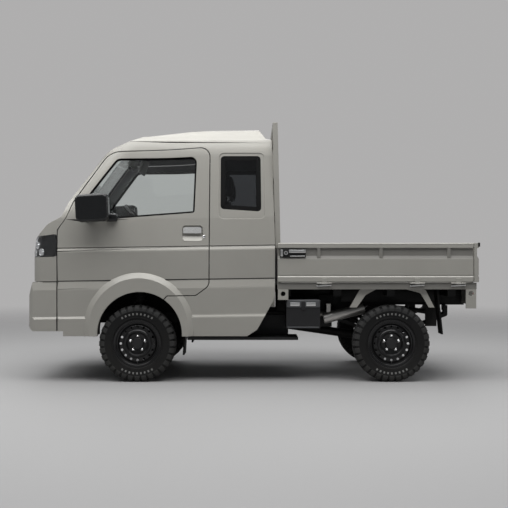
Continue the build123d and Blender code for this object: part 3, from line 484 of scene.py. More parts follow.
def painted_shade_face(face):
    """True for the faces that take a painted shade: the narrow step under a pressed line, and the sunk band
    and the ledge of a gate.
    """
    middle = face.calc_center_median()
    out, up = abs(middle.y), face.normal.z
    if middle.x > BED_FRONT_X:
        return up < -0.4 and out > STEP_OUT_Y and within(middle.z, STEP_Z) and face.calc_area() < STEP_AREA
    band = abs(face.normal.y) > 0.9 and within(out, BAND_Y) and within(middle.z, BAND_Z)
    ledge = up > 0.4 and out > BAND_Y[0] and within(middle.z, LEDGE_Z)
    return (band and face.normal.y * middle.y > 0) or ledge


def lines_opening(face, pane_box):
    """True for a face in the edge of a window, which looks toward the middle of the pane."""
    low, high = pane_box
    middle = face.calc_center_median()
    near = all(low[axis] - PANE_GAP < middle[axis] < high[axis] + PANE_GAP for axis in (0, 2))
    toward = (low + high) / 2 - middle
    toward.y = 0
    return near and abs(face.normal.y) < 0.5 and face.normal.dot(toward) > 0


# %% [markdown]
# ## Bowed pillars and round shoulders
# The windscreen pillars of the solids are straight, and those in the photograph stand out further above
# the cowl. One gentle shift, zero at the cowl and over the roof, bends every copy alike, so panels, glass
# and rubber still fit. The same bend turns the edge of the cab inward along the pillars and the roof,
# where the real sheet is rolled.

# %% Bow
BOW_SHIFT = Vector((0.027, 0, 0.018))
BOW_FOOT = (1.21, 1.36)
BOW_BACK = (0.55, 1.10)
BOW_CUTS = 9
BOW_LOW_Z = 1.2
PILLAR_AT = Vector((1.363, 0, 1.383))
PILLAR_OUT = Vector((0.779, 0, 0.627))
ROOF_EDGE = Vector((0, 0, 1.822))
UPWARD = Vector((0, 0, 1))
SHOULDER_REACH = 0.13
PILLAR_DEPTH = 0.030
ROOF_DEPTH = 0.018
SHOULDER_CUTS = 6
SHOULDER_Y = 0.62
CAB_LEAN = 70 / 588


def ease(value, limits):
    share = min(max((value - limits[0]) / (limits[1] - limits[0]), 0), 1)
    return share * share * (3 - 2 * share)


def edge_share(point, edge, outward):
    """How far a point is into the rolled edge: none at the reach, all at the edge itself."""
    share = min(max(1 - (edge - point).dot(outward) / SHOULDER_REACH, 0), 1)
    return share * share


def bow(point):
    """Shift of a point of the cab. It follows the lean of the cab's side, so a flat side stays flat."""
    shift = BOW_SHIFT * (ease(point.z, BOW_FOOT) * ease(point.x, BOW_BACK))
    pillar = edge_share(point + shift, PILLAR_AT, PILLAR_OUT)
    roof = edge_share(point + shift, ROOF_EDGE, UPWARD)
    depth = PILLAR_DEPTH * pillar + ROOF_DEPTH * roof * (1 - pillar)
    inward = depth * ease(point.z, BOW_FOOT) + CAB_LEAN * shift.z
    shift.y = -inward * point.y / SHOULDER_Y
    return shift


def bend(bm, node=None):
    """Cut a copy across where it bends, then shift its points. The screen lies along the rolled edge, so it
    goes without those cuts, and the roof goes without any, for the sake of its wide bevel."""
    cuts = []
    if node != "cab_roof":
        for axis, (start, end) in ((UPWARD, BOW_FOOT), (Vector((1, 0, 0)), BOW_BACK)):
            stride = (end - start) / (BOW_CUTS - 1)
            cuts += [(axis * (start + stride * step), axis) for step in range(BOW_CUTS)]
    if node not in ("cab_roof", "windscreen"):
        for edge, outward in ((PILLAR_AT - BOW_SHIFT, PILLAR_OUT), (ROOF_EDGE, UPWARD)):
            cuts += [(edge - outward * SHOULDER_REACH * step / SHOULDER_CUTS, outward)
                     for step in range(SHOULDER_CUTS + 1)]
    for place, across in cuts:
        faces = [face for face in bm.faces if min(vert.co.z for vert in face.verts) > BOW_LOW_Z]
        lines = {line for face in faces for line in face.edges}
        verts = {vert for face in faces for vert in face.verts}
        bmesh.ops.bisect_plane(bm, geom=[*verts, *lines, *faces], dist=WELD, plane_co=place, plane_no=across)
    for vert in bm.verts:
        vert.co += bow(vert.co)
    bm.normal_update()
    return bm


def bent_pane(node):
    """Clear pane that stands for a solid and follows the bow."""
    bm = bend(copy_mesh(node), node)
    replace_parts(make_piece(bm, node + "_pane", ["clear_glass"], body_of(node)), node)


BENT_PANES = ("windscreen", "door_glass_left", "door_glass_right")
for node in BENT_PANES:
    bent_pane(node)
print("bent panes", len(BENT_PANES))

# %% [markdown]
# ## Painted panels
# Doors, sides, roof and nose are pressed steel outside and trim or lining inside, so faces that look into
# the cab take the second finish.

# %% Panels
PANELS = {
    "door_left": ("trim_plastic", (0, -1, 0)),
    "door_right": ("trim_plastic", (0, 1, 0)),
    "cab_side_left": ("trim_plastic", (0, -1, 0)),
    "cab_side_right": ("trim_plastic", (0, 1, 0)),
    "cab_roof": ("lining", (0, 0, -1)),
    "cab_back_wall": ("trim_plastic", (1, 0, 0)),
    "cab_front_panel": ("trim_plastic", (-1, 0, 0)),
    "front_bumper": ("chassis_black", (-1, 0, 0)),
}
PANES = {"door_left": "door_glass_left", "door_right": "door_glass_right"}
BED_PANELS = ("side_gate_left", "side_gate_right", "tailgate", "guard_frame", "rear_arches",
              "lashing_brackets", "tail_bar")
SHARP_EDGE = 0.0012
PANEL_EDGE = 0.008
ROOF_EDGE_WIDTH = 0.026
BED_EDGE = 0.003
# Shortest fold that is rounded wide
CAB_RUN = 0.25
BED_RUN = 0.5
for node, (inner, direction) in PANELS.items():
    wide = ROOF_EDGE_WIDTH if node == "cab_roof" else PANEL_EDGE
    # The fourth finish is a painted shade for the step under a crease.
    finishes = ["metallic_paint", inner, "black_rubber", "painted_crease_shade"]
    skin(node, finishes, SHARP_EDGE, wide, CAB_RUN, direction, PANES.get(node))
for node in BED_PANELS:
    # The fourth finish is a painted shade on the sunk band and the ledge of each gate.
    skin(node, ["metallic_paint"] * 3 + ["paint_in_painted_shade"], SHARP_EDGE, BED_EDGE, BED_RUN)
print("painted panels", len(PANELS) + len(BED_PANELS))

# %% [markdown]
# ## Deck, wheels and mirrors
# The deck is body colour above and black below the sill, the black a painted shade under the deck, so a
# plain copy of it gets a second finish on what lies under the sill, and a third, also a painted shade, on
# the face of the sill under the gates. Wheels and mirror shells keep their form too, and only their true
# corners are rounded, so that gloss has an edge to catch.

# %% Deck, wheels and mirrors
SILL_UNDER = 0.692
SILL_OUT_Y = 0.71
CORNER = radians(22)
CORNERS = {"wheel_" + name: ("wheel_black", 0.0025)
           for name in ("front_left", "front_right", "rear_left", "rear_right")}
CORNERS.update({name: ("mirror_black", 0.012) for name in ("mirror_left", "mirror_right")})


def deck_skin():
    bm = bmesh.new()
    bm.from_mesh(frame["nodes"]["bed_floor"].data)
    bmesh.ops.remove_doubles(bm, verts=bm.verts[:], dist=WELD)
    for face in bm.faces:
        # Faces that look down or reach below the sill take black as a painted shade under the deck.
        lowest = min(vert.co.z for vert in face.verts)
        if face.normal.z < -0.5 or lowest < SILL_UNDER:
            face.material_index = 1
        # The outer face of the sill, under the gates, takes a painted shade.
        elif abs(face.normal.y) > 0.9 and abs(face.calc_center_median().y) > SILL_OUT_Y:
            face.material_index = 2
    finishes = ["metallic_paint", "chassis_black", "paint_in_painted_shade"]
    piece = make_piece(bm, "bed_floor_skin", finishes, "chassis")
    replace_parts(piece, "bed_floor")


def round_corners(node, label, radius):
    bm = copy_mesh(node)
    weight = bm.edges.layers.float.new("bevel_weight_edge")
    for line in bm.edges:
        line[weight] = 1.0 if line.is_manifold and line.calc_face_angle(0) > CORNER else 0.0
    piece = make_piece(bm, node + "_skin", [label], body_of(node))
    soften(piece, radius)
    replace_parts(piece, node)


deck_skin()
for node, (label, radius) in CORNERS.items():
    round_corners(node, label, radius)
print("softened solids", len(CORNERS))

# %% [markdown]
# ## Plain finishes for the rest of the solids
# Pieces that are right as they are keep their solid, and only their finish changes.

# %% Finishes on the solids
BLACK_SOLIDS = ("knuckle_left", "knuckle_right", "front_crossmember", "front_struts", "rear_axle",
                "leaf_springs", "propeller_shaft", "ladder_frame", "fuel_tank")
SOLID_FINISH = {
    "quarter_glass": "smoked_glass", "back_glass": "smoked_glass", "door_handle_left": "satin_silver",
    "door_handle_right": "satin_silver", "front_grille": "black_plastic", "engine": "exhaust_steel",
    "undercover": "black_plastic", "battery_box": "black_plastic", "silencer": "silencer_steel",
    "cab_floor": "black_rubber", "dashboard": "trim_plastic", "steering_wheel": "black_plastic",
    "mudflaps": "black_rubber", "tail_lamps": "red_lens", **dict.fromkeys(BLACK_SOLIDS, "chassis_black"),
}
for node, label in SOLID_FINISH.items():
    frame["nodes"][node].data.materials[0] = FINISHES[label]
print("finished solids", len(SOLID_FINISH))

# %% [markdown]
# ## Tools for trim
# Trim is written in millimetres, as on a drawing. Boxes get rounded edges, rods run between two points,
# and round pieces are turned from a short list of radii. A straight line sent at a solid finds where a
# fitting sits on it.

# %% Trim tools
MM = 0.001
TRIM_FOLD = radians(35)
TREES = {}


def new_trim():
    """Empty mesh that remembers which of its faces have their finish."""
    bm = bmesh.new()
    bm.faces.layers.int.new("done")
    return bm


def fresh_faces(bm):
    done = bm.faces.layers.int["done"]
    return [face for face in bm.faces if not face[done]]


def paint_new(bm, index):
    done = bm.faces.layers.int["done"]
    for face in fresh_faces(bm):
        face.material_index = index
        face[done] = 1


def round_edges(bm, edges, radius, segments):
    bmesh.ops.bevel(bm, geom=edges, offset=radius * MM, segments=segments, profile=0.5, affect="EDGES",
                    material=-1)


def pull(bm, faces, way):
    """Grow faces into a solid along a way."""
    grown = bmesh.ops.extrude_face_region(bm, geom=faces)["geom"]
    verts = [part for part in grown if isinstance(part, bmesh.types.BMVert)]
    bmesh.ops.translate(bm, verts=verts, vec=way)


def plate(bm, x, y, z, edge=0.0, index=0, turn=None, segments=2):
    """Box between three pairs of limits, with rounded edges, turned about its own middle."""
    size = [abs(pair[1] - pair[0]) * MM for pair in (x, y, z)]
    middle = Vector([sum(pair) / 2 * MM for pair in (x, y, z)])
    place = Matrix.Translation(middle) @ (turn or Matrix()).to_4x4() @ Matrix.Diagonal((*size, 1))
    made = bmesh.ops.create_cube(bm, size=1.0, matrix=place)["verts"]
    if edge:
        round_edges(bm, list({line for vert in made for line in vert.link_edges}), edge, segments)
    paint_new(bm, index)


def rod(bm, start, end, radius, index=0, sides=16, taper=1.0):
    """Round bar between two points."""
    a, b = Vector(start) * MM, Vector(end) * MM
    place = Matrix.Translation((a + b) / 2) @ (b - a).to_track_quat("Z", "Y").to_matrix().to_4x4()
    bmesh.ops.create_cone(bm, cap_ends=True, segments=sides, radius1=radius * MM, radius2=radius * taper * MM,
                          depth=(b - a).length, matrix=place)
    paint_new(bm, index)


def pipe(bm, points, radius, index=0):
    """Round bar through several points with a ball at each bend."""
    for start, end in zip(points, points[1:]):
        rod(bm, start, end, radius, index)
    for point in points:
        bmesh.ops.create_uvsphere(bm, u_segments=16, v_segments=8, radius=radius * MM,
                                  matrix=Matrix.Translation(Vector(point) * MM))
    paint_new(bm, index)


def turned(bm, rows, place, steps=48, index=0, closed=False):
    """Round piece from radius and height pairs, about the Z axis of a place."""
    verts = [bm.verts.new((radius * MM, 0, height * MM)) for radius, height in rows]
    edges = [bm.edges.new(pair) for pair in zip(verts, verts[1:])]
    if closed:
        edges.append(bm.edges.new((verts[-1], verts[0])))
    bmesh.ops.spin(bm, geom=verts + edges, cent=(0, 0, 0), axis=(0, 0, 1), angle=2 * pi, steps=steps,
                   use_merge=True)
    moved = list({vert for face in fresh_faces(bm) for vert in face.verts})
    bmesh.ops.remove_doubles(bm, verts=moved, dist=1e-6)
    fresh = fresh_faces(bm)
    bmesh.ops.recalc_face_normals(bm, faces=fresh)
    bmesh.ops.transform(bm, matrix=place, verts=list({vert for face in fresh for vert in face.verts}))
    paint_new(bm, index)


def facing(point, direction):
    """Place whose Z axis points along a direction."""
    return Matrix.Translation(point) @ Vector(direction).to_track_quat("Z", "Y").to_matrix().to_4x4()


def touch(node, start, toward):
    """Where a line from a start, in millimetres, first meets a solid, and which way the solid faces there."""
    if node not in TREES:
        bm = bend(copy_mesh(node), node)
        TREES[node] = BVHTree.FromBMesh(bm)
        bm.free()
    point, normal, _, _ = TREES[node].ray_cast(Vector(start) * MM, Vector(toward))
    return point, normal


def around(bm, count, axis=(0, 1, 0)):
    """Repeat everything made so far in a ring about the origin."""
    geom = bm.verts[:] + bm.edges[:] + bm.faces[:]
    bmesh.ops.spin(bm, geom=geom, cent=(0, 0, 0), axis=axis, angle=2 * pi * (count - 1) / count,
                   steps=count - 1, use_duplicate=True)


def spread(*limits):
    """A pair of limits in rising order, so that a left-hand size can be mirrored by its sign."""
    return min(limits), max(limits)


def trim_piece(bm, name, finishes, body):
    """Piece of trim: it stands for no solid and keeps its corners sharp."""
    return make_piece(bm, name, finishes, body, TRIM_FOLD)


def plates(bm, rows, sign=1):
    """Boxes from rows of limits in x, y and z, then what else plate takes. A sign of -1 mirrors them in y."""
    for x, y, z, *rest in rows:
        plate(bm, x, spread(sign * y[0], sign * y[1]), z, *rest)


def box_piece(name, rows, finishes, body, signs=(1, -1)):
    """Piece of trim made of boxes alone, on both sides unless told otherwise."""
    bm = new_trim()
    for sign in signs:
        plates(bm, rows, sign)
    trim_piece(bm, name, finishes, body)


SIDES = (("left", 1), ("right", -1))
print("trim tools ready")

# %% [markdown]
# ## Rubber round the glass
# A bonded pane has a dark border, and a sliding pane runs in a rubber channel. Both follow the edge of
# the glass, so the outer face of the pane is copied, inset by the width of the border, and only the ring
# is kept and thickened.

# %% Glass borders
# pane: outward direction, border width, thickness
BORDERS = {
    "door_glass_left": ((0, 1, 0), 13, 7),
    "door_glass_right": ((0, -1, 0), 13, 7),
    "windscreen": ((0.75, 0, 0.65), 32, 2),
    "back_glass": ((-1, 0, 0), 26, 3),
}


def border(node, outward, width, thickness, name):
    outward = Vector(outward)
    bm = bend(copy_mesh(node), node)
    keep = [face for face in bm.faces if face.normal.dot(outward) > 0.6]
    bmesh.ops.delete(bm, geom=[face for face in bm.faces if face not in keep], context="FACES")
    bmesh.ops.inset_region(bm, faces=bm.faces[:], thickness=width * MM, use_boundary=True,
                           use_even_offset=True)
    outline = {vert for line in bm.edges if line.is_boundary for vert in line.verts}
    inner = [face for face in bm.faces if not any(vert in outline for vert in face.verts)]
    bmesh.ops.delete(bm, geom=inner, context="FACES")
    pull(bm, bm.faces[:], outward * thickness * MM)
    bmesh.ops.recalc_face_normals(bm, faces=bm.faces[:])
    return make_piece(bm, name, ["black_rubber"], body_of(node), radians(30))


for node, (outward, width, thickness) in BORDERS.items():
    border(node, outward, width, thickness, node + "_border")
for side, sign in SIDES:
    border("quarter_glass", (0, sign, 0), 34, 3, "quarter_border_" + side)
print("glass borders", len(BORDERS) + 2)

# %% [markdown]
# ## Tyres
# An off-road tyre shows deep shoulder blocks even from the side. The carcass is turned from one outline,
# the blocks are made once at the top of the wheel, and a spin with duplicates repeats them round the
# tread.

# %% Tyres
# Outer half of the carcass: radius, distance from the middle
TYRE_OUTLINE = [
    (166.5, 57), (181, 64), (182, 70), (186, 73.5), (189, 74.0), (190, 75.4), (192, 75.4), (193, 74.6),
    (195, 75.0), (196, 76.3), (198, 76.3), (199, 75.6), (212, 77.4), (226, 78.6), (240, 79.2), (243, 80.0),
    (246, 80.0), (249, 78.2), (258, 75.8), (268, 70.5), (276, 62), (278.5, 54),
]
SHOULDER_LUG = [(36, 277), (36, 287), (57, 287), (72, 277.5), (80.0, 262), (81.6, 244), (77, 243), (60, 276)]
# Tread rows: inner y, outer y, block length, turn in degrees, shift along the tread in degrees
TREAD_ROWS = [(-10, 10, 40, 20, 0.0), (13, 33, 44, -14, 4.0), (-33, -13, 44, -14, -4.0)]
LUG_COUNT = 32
LUG_HALF = 17.5
LUG_EDGE = 1.6
HATCH_COUNT = 9
HATCH_STEP = radians(7.5)
WHEEL_HEIGHT = 287
WHEELS = {
    "front_left": (862, 640, 1), "front_right": (862, -640, -1),
    "rear_left": (-1043, 640, 1), "rear_right": (-1043, -640, -1),
}


def wheel_place(x, y, sign):
    """Place of a wheel, turned round on the right so that its outer face looks out."""
    turn = Matrix.Rotation(0 if sign > 0 else pi, 4, "Z")
    return Matrix.Translation(Vector((x, y, WHEEL_HEIGHT)) * MM) @ turn


def tread_lug(bm, sign):
    rows = [bm.verts.new((-LUG_HALF * MM, sign * y * MM, z * MM)) for y, z in SHOULDER_LUG]
    face = bm.faces.new(rows)
    pull(bm, [face], (2 * LUG_HALF * MM, 0, 0))
    fresh = fresh_faces(bm)
    bmesh.ops.recalc_face_normals(bm, faces=fresh)
    round_edges(bm, list({line for part in fresh for line in part.edges}), LUG_EDGE, 1)
    paint_new(bm, 2)


def block(bm, x, y, z, edge, index, turn, angle):
    """Plate at the top of the wheel, carried round the tread by an angle."""
    before = set(bm.verts)
    plate(bm, x, y, z, edge, index, turn, 1)
    fresh = [vert for vert in bm.verts if vert not in before]
    bmesh.ops.rotate(bm, cent=(0, 0, 0), matrix=Matrix.Rotation(angle, 3, "Y"), verts=fresh)


def tyre_mesh():
    blocks = new_trim()
    for sign in (1, -1):
        tread_lug(blocks, sign)
    for y0, y1, length, turn, shift in TREAD_ROWS:
        block(blocks, (-length / 2, length / 2), (y0, y1), (276, WHEEL_HEIGHT), 1.5, 2,
              Matrix.Rotation(radians(turn), 3, "Z"), radians(shift))
    around(blocks, LUG_COUNT)
    upright = Matrix.Rotation(radians(-90), 4, "X")
    rows = TYRE_OUTLINE + [(radius, -y) for radius, y in reversed(TYRE_OUTLINE)]
    turned(blocks, rows, upright, 96, 0, True)
    for centre in (0, pi):
        for step in range(HATCH_COUNT):
            angle = centre + (step - (HATCH_COUNT - 1) / 2) * HATCH_STEP
            block(blocks, (-6, 6), (78.2, 79.9), (214, 229), 0.6, 1,
                  Matrix.Rotation(radians(-5), 3, "X"), angle)
    mesh = bpy.data.meshes.new("tyre_pattern")
    blocks.to_mesh(mesh)
    blocks.free()
    return mesh


tyre_pattern = tyre_mesh()
for name, (x, y, sign) in WHEELS.items():
    bm = bmesh.new()
    bm.from_mesh(tyre_pattern)
    bmesh.ops.transform(bm, matrix=wheel_place(x, y, sign), verts=bm.verts[:])
    finishes = ["tyre_rubber", "pale_rubber", "tread_rubber"]
    tyre = make_piece(bm, "tyre_" + name + "_tread", finishes, "wheel_" + name, radians(28))
    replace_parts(tyre, "tyre_" + name)
print("tyre faces", len(tyre_pattern.polygons))

# %% [markdown]
# ## Wheel fittings
# Bright nuts, a dark centre cap and a valve sit on each black steel wheel. Five nuts share one circle, so
# one is made at the top and spun round.

# %% Wheel fittings
NUT_CIRCLE = 57.15
NUT_SEAT = 40.5
CAP_SEAT = 51.5
NUT_ROWS = [(11.8, 0), (11.8, 2), (10.2, 3), (10.0, 13), (8.4, 17), (5.0, 19.5), (0.01, 20.4)]
# Smooth raised ring between the nuts and the vents
HUMP_ROWS = [(74, 41.5), (78, 48), (83, 56), (88, 61.4), (93, 63.6), (98, 63.2), (103, 59.6), (107, 54.2)]
CAP_ROWS = [(40.5, 0), (40.5, 3.5), (39, 5), (33, 5.4), (32, 4.4), (30, 4.4), (29, 5.6), (0.01, 6.4)]


def wheel_fittings(name, x, y, sign):
    upright = Matrix.Rotation(radians(-90), 4, "X")
    bm = new_trim()
    turned(bm, NUT_ROWS, Matrix.Translation((0, NUT_SEAT * MM, NUT_CIRCLE * MM)) @ upright, 6, 0)
    around(bm, 5)
    turned(bm, CAP_ROWS, Matrix.Translation((0, CAP_SEAT * MM, 0)) @ upright, 48, 1)
    turned(bm, HUMP_ROWS, upright, 96, 2, True)
    rod(bm, (0, 40, -146), (0, 62, -138), 4.2, 1, 12, 0.8)
    bmesh.ops.transform(bm, matrix=wheel_place(x, y, sign), verts=bm.verts[:])
    trim_piece(bm, "wheel_fittings_" + name, ["chrome", "black_plastic", "wheel_black"], "wheel_" + name)


for name, (x, y, sign) in WHEELS.items():
    wheel_fittings(name, x, y, sign)
print("wheel fittings", len(WHEELS))

# %% [markdown]
# ## Nose
# The lamps are smoked units with bright reflectors inside. Round projectors and an amber flasher stand on
# the face of each unit. The wipers rest low on the screen, and the plate stays blank.

# %% Lamps, plate and wipers
PROJECTOR = [(0.01, 6.4), (12, 5.6), (21, 3.4), (25, 0.6), (25.5, 0)]
BEZEL = [(25.5, -3), (25.5, 2.6), (27.5, 3.4), (31, 1.6), (33, -3)]
CUP = [(0.01, 6), (7, 5.4), (9, 1.2), (20, 2.6), (27, 6.4), (28, 6.0), (28, -2)]
FOG_LENS = [(0.01, 6), (14, 5.2), (24, 3.0), (28, 0.8), (28, -4)]
FOG_RING = [(28.5, -4), (28.5, 3.5), (31, 4.5), (36, 2.5), (37, -4)]
LAMP_SPOTS = [(485, 1030), (560, 1034)]
FLASHER_YS = (455, 491, 527, 563)
FLASHER_Z = 966
LAMP_GAP = 0.012
LENS_WALL = 0.0025
# Side reflectors: direction from the front in degrees, height
CUP_SPOTS = [(52, 1024), (42, 966), (64, 972)]
CUP_CENTRE = (1480, 500)
FOG_AT = (535, 480)
# Blank plate, its raised field and the holder behind it
NOSE_PLATE = [
    ((1697, 1699), (-165, 165), (545, 710), 1.0, 0),
    ((1699, 1700), (-158, 158), (552, 703), 0.4, 0),
    ((1660, 1697), (-90, 90), (560, 640), 2.0, 1),
]
# Wipers: both ends of the blade and the pivot in y, and heights of the ends, the pivot and the middle
WIPERS = [(560, 120, 330), (60, -400, -160)]
WIPER_Z = (1312, 1292, 1256, 1303)
WIPER_LIFT = 0.012
WIPER_R = 5
PIVOT_ROWS = [(16, -14), (16, 3), (12, 7), (0.01, 8)]


def lamp_form(sign):
    """One lamp as a plain bulging form, without the crease that runs through its solid."""
    solid = copy_mesh("headlamps")
    bm = bmesh.new()
    for vert in solid.verts:
        if vert.co.y * sign > 0:
            bm.verts.new(vert.co)
    solid.free()
    bmesh.ops.convex_hull(bm, input=bm.verts[:])
    bmesh.ops.delete(bm, geom=[vert for vert in bm.verts if not vert.link_faces], context="VERTS")
    bmesh.ops.dissolve_limit(bm, angle_limit=radians(2), use_dissolve_boundaries=False, verts=bm.verts[:],
                             edges=bm.edges[:], delimit=set())
    bmesh.ops.recalc_face_normals(bm, faces=bm.faces[:])
    bm.normal_update()
    return bm


def lamp_lens(side, sign):
    """Clear cover: the outward faces of the form, grown inward into a thin wall."""
    bm = lamp_form(sign)
    outward = Vector((0.75, 0.66 * sign, 0))
    hidden = [face for face in bm.faces if face.normal.dot(outward) < 0.3]
    bmesh.ops.delete(bm, geom=hidden, context="FACES")
    pull(bm, bm.faces[:], -outward * LENS_WALL)
    bmesh.ops.recalc_face_normals(bm, faces=bm.faces[:])
    return make_piece(bm, "headlamp_lens_" + side, ["lamp_glass"], "chassis", radians(30))


def lamp_housing(side, sign):
    """Black pod behind the cover, the same form drawn in on every side."""
    bm = lamp_form(sign)
    inward = [(vert, vert.normal.copy()) for vert in bm.verts]
    for vert, normal in inward:
        vert.co -= normal * LAMP_GAP
    TREES["lamp_" + side] = BVHTree.FromBMesh(bm)
    return make_piece(bm, "headlamp_housing_" + side, ["black_plastic"], "chassis", radians(30))


def nose_lamps():
    lens, metal = new_trim(), new_trim()
    for side, sign in SIDES:
        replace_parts(lamp_housing(side, sign), "headlamps")
        lamp_lens(side, sign)
        for y, z in LAMP_SPOTS:
            point, normal = touch("lamp_" + side, (2000, sign * y, z), (-1, 0, 0))
            turned(lens, PROJECTOR, facing(point, normal), 40, 0)
            turned(metal, BEZEL, facing(point, normal), 40, 0)
        for angle, z in CUP_SPOTS:
            way = Vector((cos(radians(angle)), sign * sin(radians(angle)), 0))
            start = Vector((CUP_CENTRE[0], sign * CUP_CENTRE[1], z)) + way * 600
            point, normal = touch("lamp_" + side, start, -way)
            turned(metal, CUP, facing(point, normal), 32, 0)
        for y in FLASHER_YS:
            point, normal = touch("lamp_" + side, (2000, sign * y, FLASHER_Z), (-1, 0, 0))
            where = point / MM
            turn = facing((0, 0, 0), normal).to_3x3() @ Matrix.Rotation(radians(-90), 3, "Y")
            plate(metal, (where.x - 3, where.x + 2), (where.y - 15, where.y + 15),
                  (FLASHER_Z - 10, FLASHER_Z + 10), 1.5, 1, turn)
        point, normal = touch("front_bumper", (2000, sign * FOG_AT[0], FOG_AT[1]), (-1, 0, 0))
        turned(lens, FOG_LENS, facing(point, normal), 40, 0)
        turned(metal, FOG_RING, facing(point, normal), 40, 2)
    make_piece(lens, "lamp_projectors", ["lamp_glass"], "chassis", radians(40))
    trim_piece(metal, "lamp_rings", ["chrome", "amber_lens", "black_plastic"], "chassis")


def wipers():
    bm = new_trim()
    for y0, y1, pivot in WIPERS:
        ends = []
        for y, z in zip((y0, y1, pivot, (y0 + y1) / 2), WIPER_Z):
            point, normal = touch("windscreen", (2200, y, z), (-1, 0, 0))
            ends.append((point + normal * WIPER_LIFT) / MM)
        rod(bm, ends[0], ends[1], WIPER_R, 1)
        rod(bm, ends[2], ends[3], WIPER_R, 0)
        turned(bm, PIVOT_ROWS, facing(ends[2] * MM, (0.4, 0, 0.9)), 24, 0)
    trim_piece(bm, "wipers", ["black_plastic", "black_rubber"], "chassis")


nose_lamps()
box_piece("front_plate", NOSE_PLATE, ["plate_white", "black_plastic"], "chassis", (1,))
wipers()
print("nose trim ready")

# %% [markdown]
# ## Doors and mirrors
# Each door carries its trim board, armrest and inner handle, a key cylinder, and the mirror with its
# silvered face.

# %% Door fittings
# Trim board, armrest, pocket, handle recess and handle
DOOR_TRIM = [
    ((470, 1300), (646, 656), (690, 1185), 4, 0),
    ((560, 870), (600, 648), (920, 975), 16, 0, None, 3),
    ((620, 1060), (628, 648), (720, 830), 8, 0),
    ((890, 985), (636, 648), (1040, 1072), 5, 1),
    ((900, 975), (630, 640), (1046, 1066), 4, 2),
]
MIRROR_ARM = [((1008, 1100), (690, 748), (1200, 1262), 16, 1, None, 3)]
MIRROR_IN = 52
MIRROR_OUT = 78
MIRROR_HALF = 74
KEY_AT = (362, 1088)
KEY_ROWS = [(11, -2), (11, 1.5), (9.5, 2.6), (6.5, 2.6), (6, 1.6), (0.01, 1.6)]


def door_fittings(side, sign):
    body = "door_" + side
    box_piece("door_trim_" + side, DOOR_TRIM, ["trim_plastic", "black_plastic", "chrome"], body, (sign,))
    key = new_trim()
    point, normal = touch(body, (KEY_AT[0], sign * 900, KEY_AT[1]), (0, -sign, 0))
    turned(key, KEY_ROWS, facing(point, normal), 28, 0)
    trim_piece(key, "door_key_" + side, ["chrome"], body)
    mirror = new_trim()
    low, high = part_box("mirror_" + side)
    mid_y, mid_z = (low.y + high.y) / 2 / MM, (low.z + high.z) / 2 / MM
    point, normal = touch("mirror_" + side, (500, mid_y + sign * 20, mid_z), (1, 0, 0))
    face_x = point.x / MM
    reach = (abs(mid_y) - MIRROR_IN, abs(mid_y) + MIRROR_OUT)
    silver = ((face_x - 0.4, face_x + 2), reach, (mid_z - MIRROR_HALF, mid_z + MIRROR_HALF), 0.3, 0)
    plates(mirror, [silver] + MIRROR_ARM, sign)
    trim_piece(mirror, "mirror_face_" + side, ["chrome", "mirror_black"], body)


for side, sign in SIDES:
    door_fittings(side, sign)
print("door fittings ready")

# %% [markdown]
# ## Load bed
# Drop sides hang on strap hinges and are held up by galvanised levers. The deck is ribbed along its
# length so that it stays stiff and drains.

# %% Bed fittings
HINGE_MIDDLES = (-536, -1230, -1538)
GATE_FACE = 744
# Latch on the sunk band: backing, lever and lower bar, then the stop
LATCH_BASE = [
    ((-398, -205), (738, 742), (932, 996), 1.2, 1),
    ((-398, -272), (741, 749), (966, 990), 4, 0),
    ((-392, -280), (741, 745), (938, 946), 2, 0),
]
LATCH_STOP = [((-228, -210), (741, 748), (940, 992), 3, 0)]
TAIL_CAPS = [((-1698, -1682), (726, 740), (1012, 1043), 3, 0)]
# Reversing lamp, flasher and tail lamp
TAIL_LENSES = [
    ((-1690, -1681), (384, 446), (584, 676), 2.5, 2),
    ((-1690, -1681), (450, 516), (584, 676), 2.5, 1),
    ((-1690, -1681), (520, 586), (584, 676), 2.5, 0),
]
RIB_COUNT = 11
RIB_STEP = 116
PIN_Y = 724


def gate_fittings(side, sign):
    bm = new_trim()
    face = sign * GATE_FACE
    plates(bm, LATCH_BASE, sign)
    rod(bm, (-250, face - sign * 4, 966), (-250, face + sign * 6, 966), 15, 0)
    rod(bm, (-250, face, 966), (-250, face + sign * 8, 966), 7, 1)
    plates(bm, LATCH_STOP, sign)
    trim_piece(bm, "gate_latch_" + side, ["bright_zinc", "chassis_black"], "side_gate_" + side)
    fixed = new_trim()
    for x in HINGE_MIDDLES:
        rod(fixed, (x + 30, sign * PIN_Y, 722), (x + 54, sign * PIN_Y, 719), 8, 0, 14, 0.4)
        rod(fixed, (x + 30, sign * PIN_Y, 722), (x - 44, sign * PIN_Y, 727), 8, 0, 14, 0.9)
        rod(fixed, (x - 44, sign * PIN_Y, 727), (x - 54, sign * PIN_Y, 727), 9, 0, 14)
    trim_piece(fixed, "gate_hinge_pins_" + side, ["bright_zinc"], "chassis")


def deck_ribs():
    bm = new_trim()
    for index in range(RIB_COUNT):
        y = (index - (RIB_COUNT - 1) / 2) * RIB_STEP
        plate(bm, (-1640, -232), (y - 24, y + 24), (744, 747), 1.4, 0)
    trim_piece(bm, "deck_ribs", ["metallic_paint"], "chassis")


for side, sign in SIDES:
    gate_fittings(side, sign)
box_piece("tailgate_caps", TAIL_CAPS, ["black_rubber"], "tailgate")
box_piece("tail_lenses", TAIL_LENSES, ["red_lens", "amber_lens", "lamp_glass"], "chassis")
deck_ribs()
print("bed fittings ready")

# %% [markdown]
# ## Underside
# Springs, shock absorbers and the exhaust show under the deck and through the wheels. A coil is a small
# circle spun round an axis while it climbs, which the spin operator does in one step.

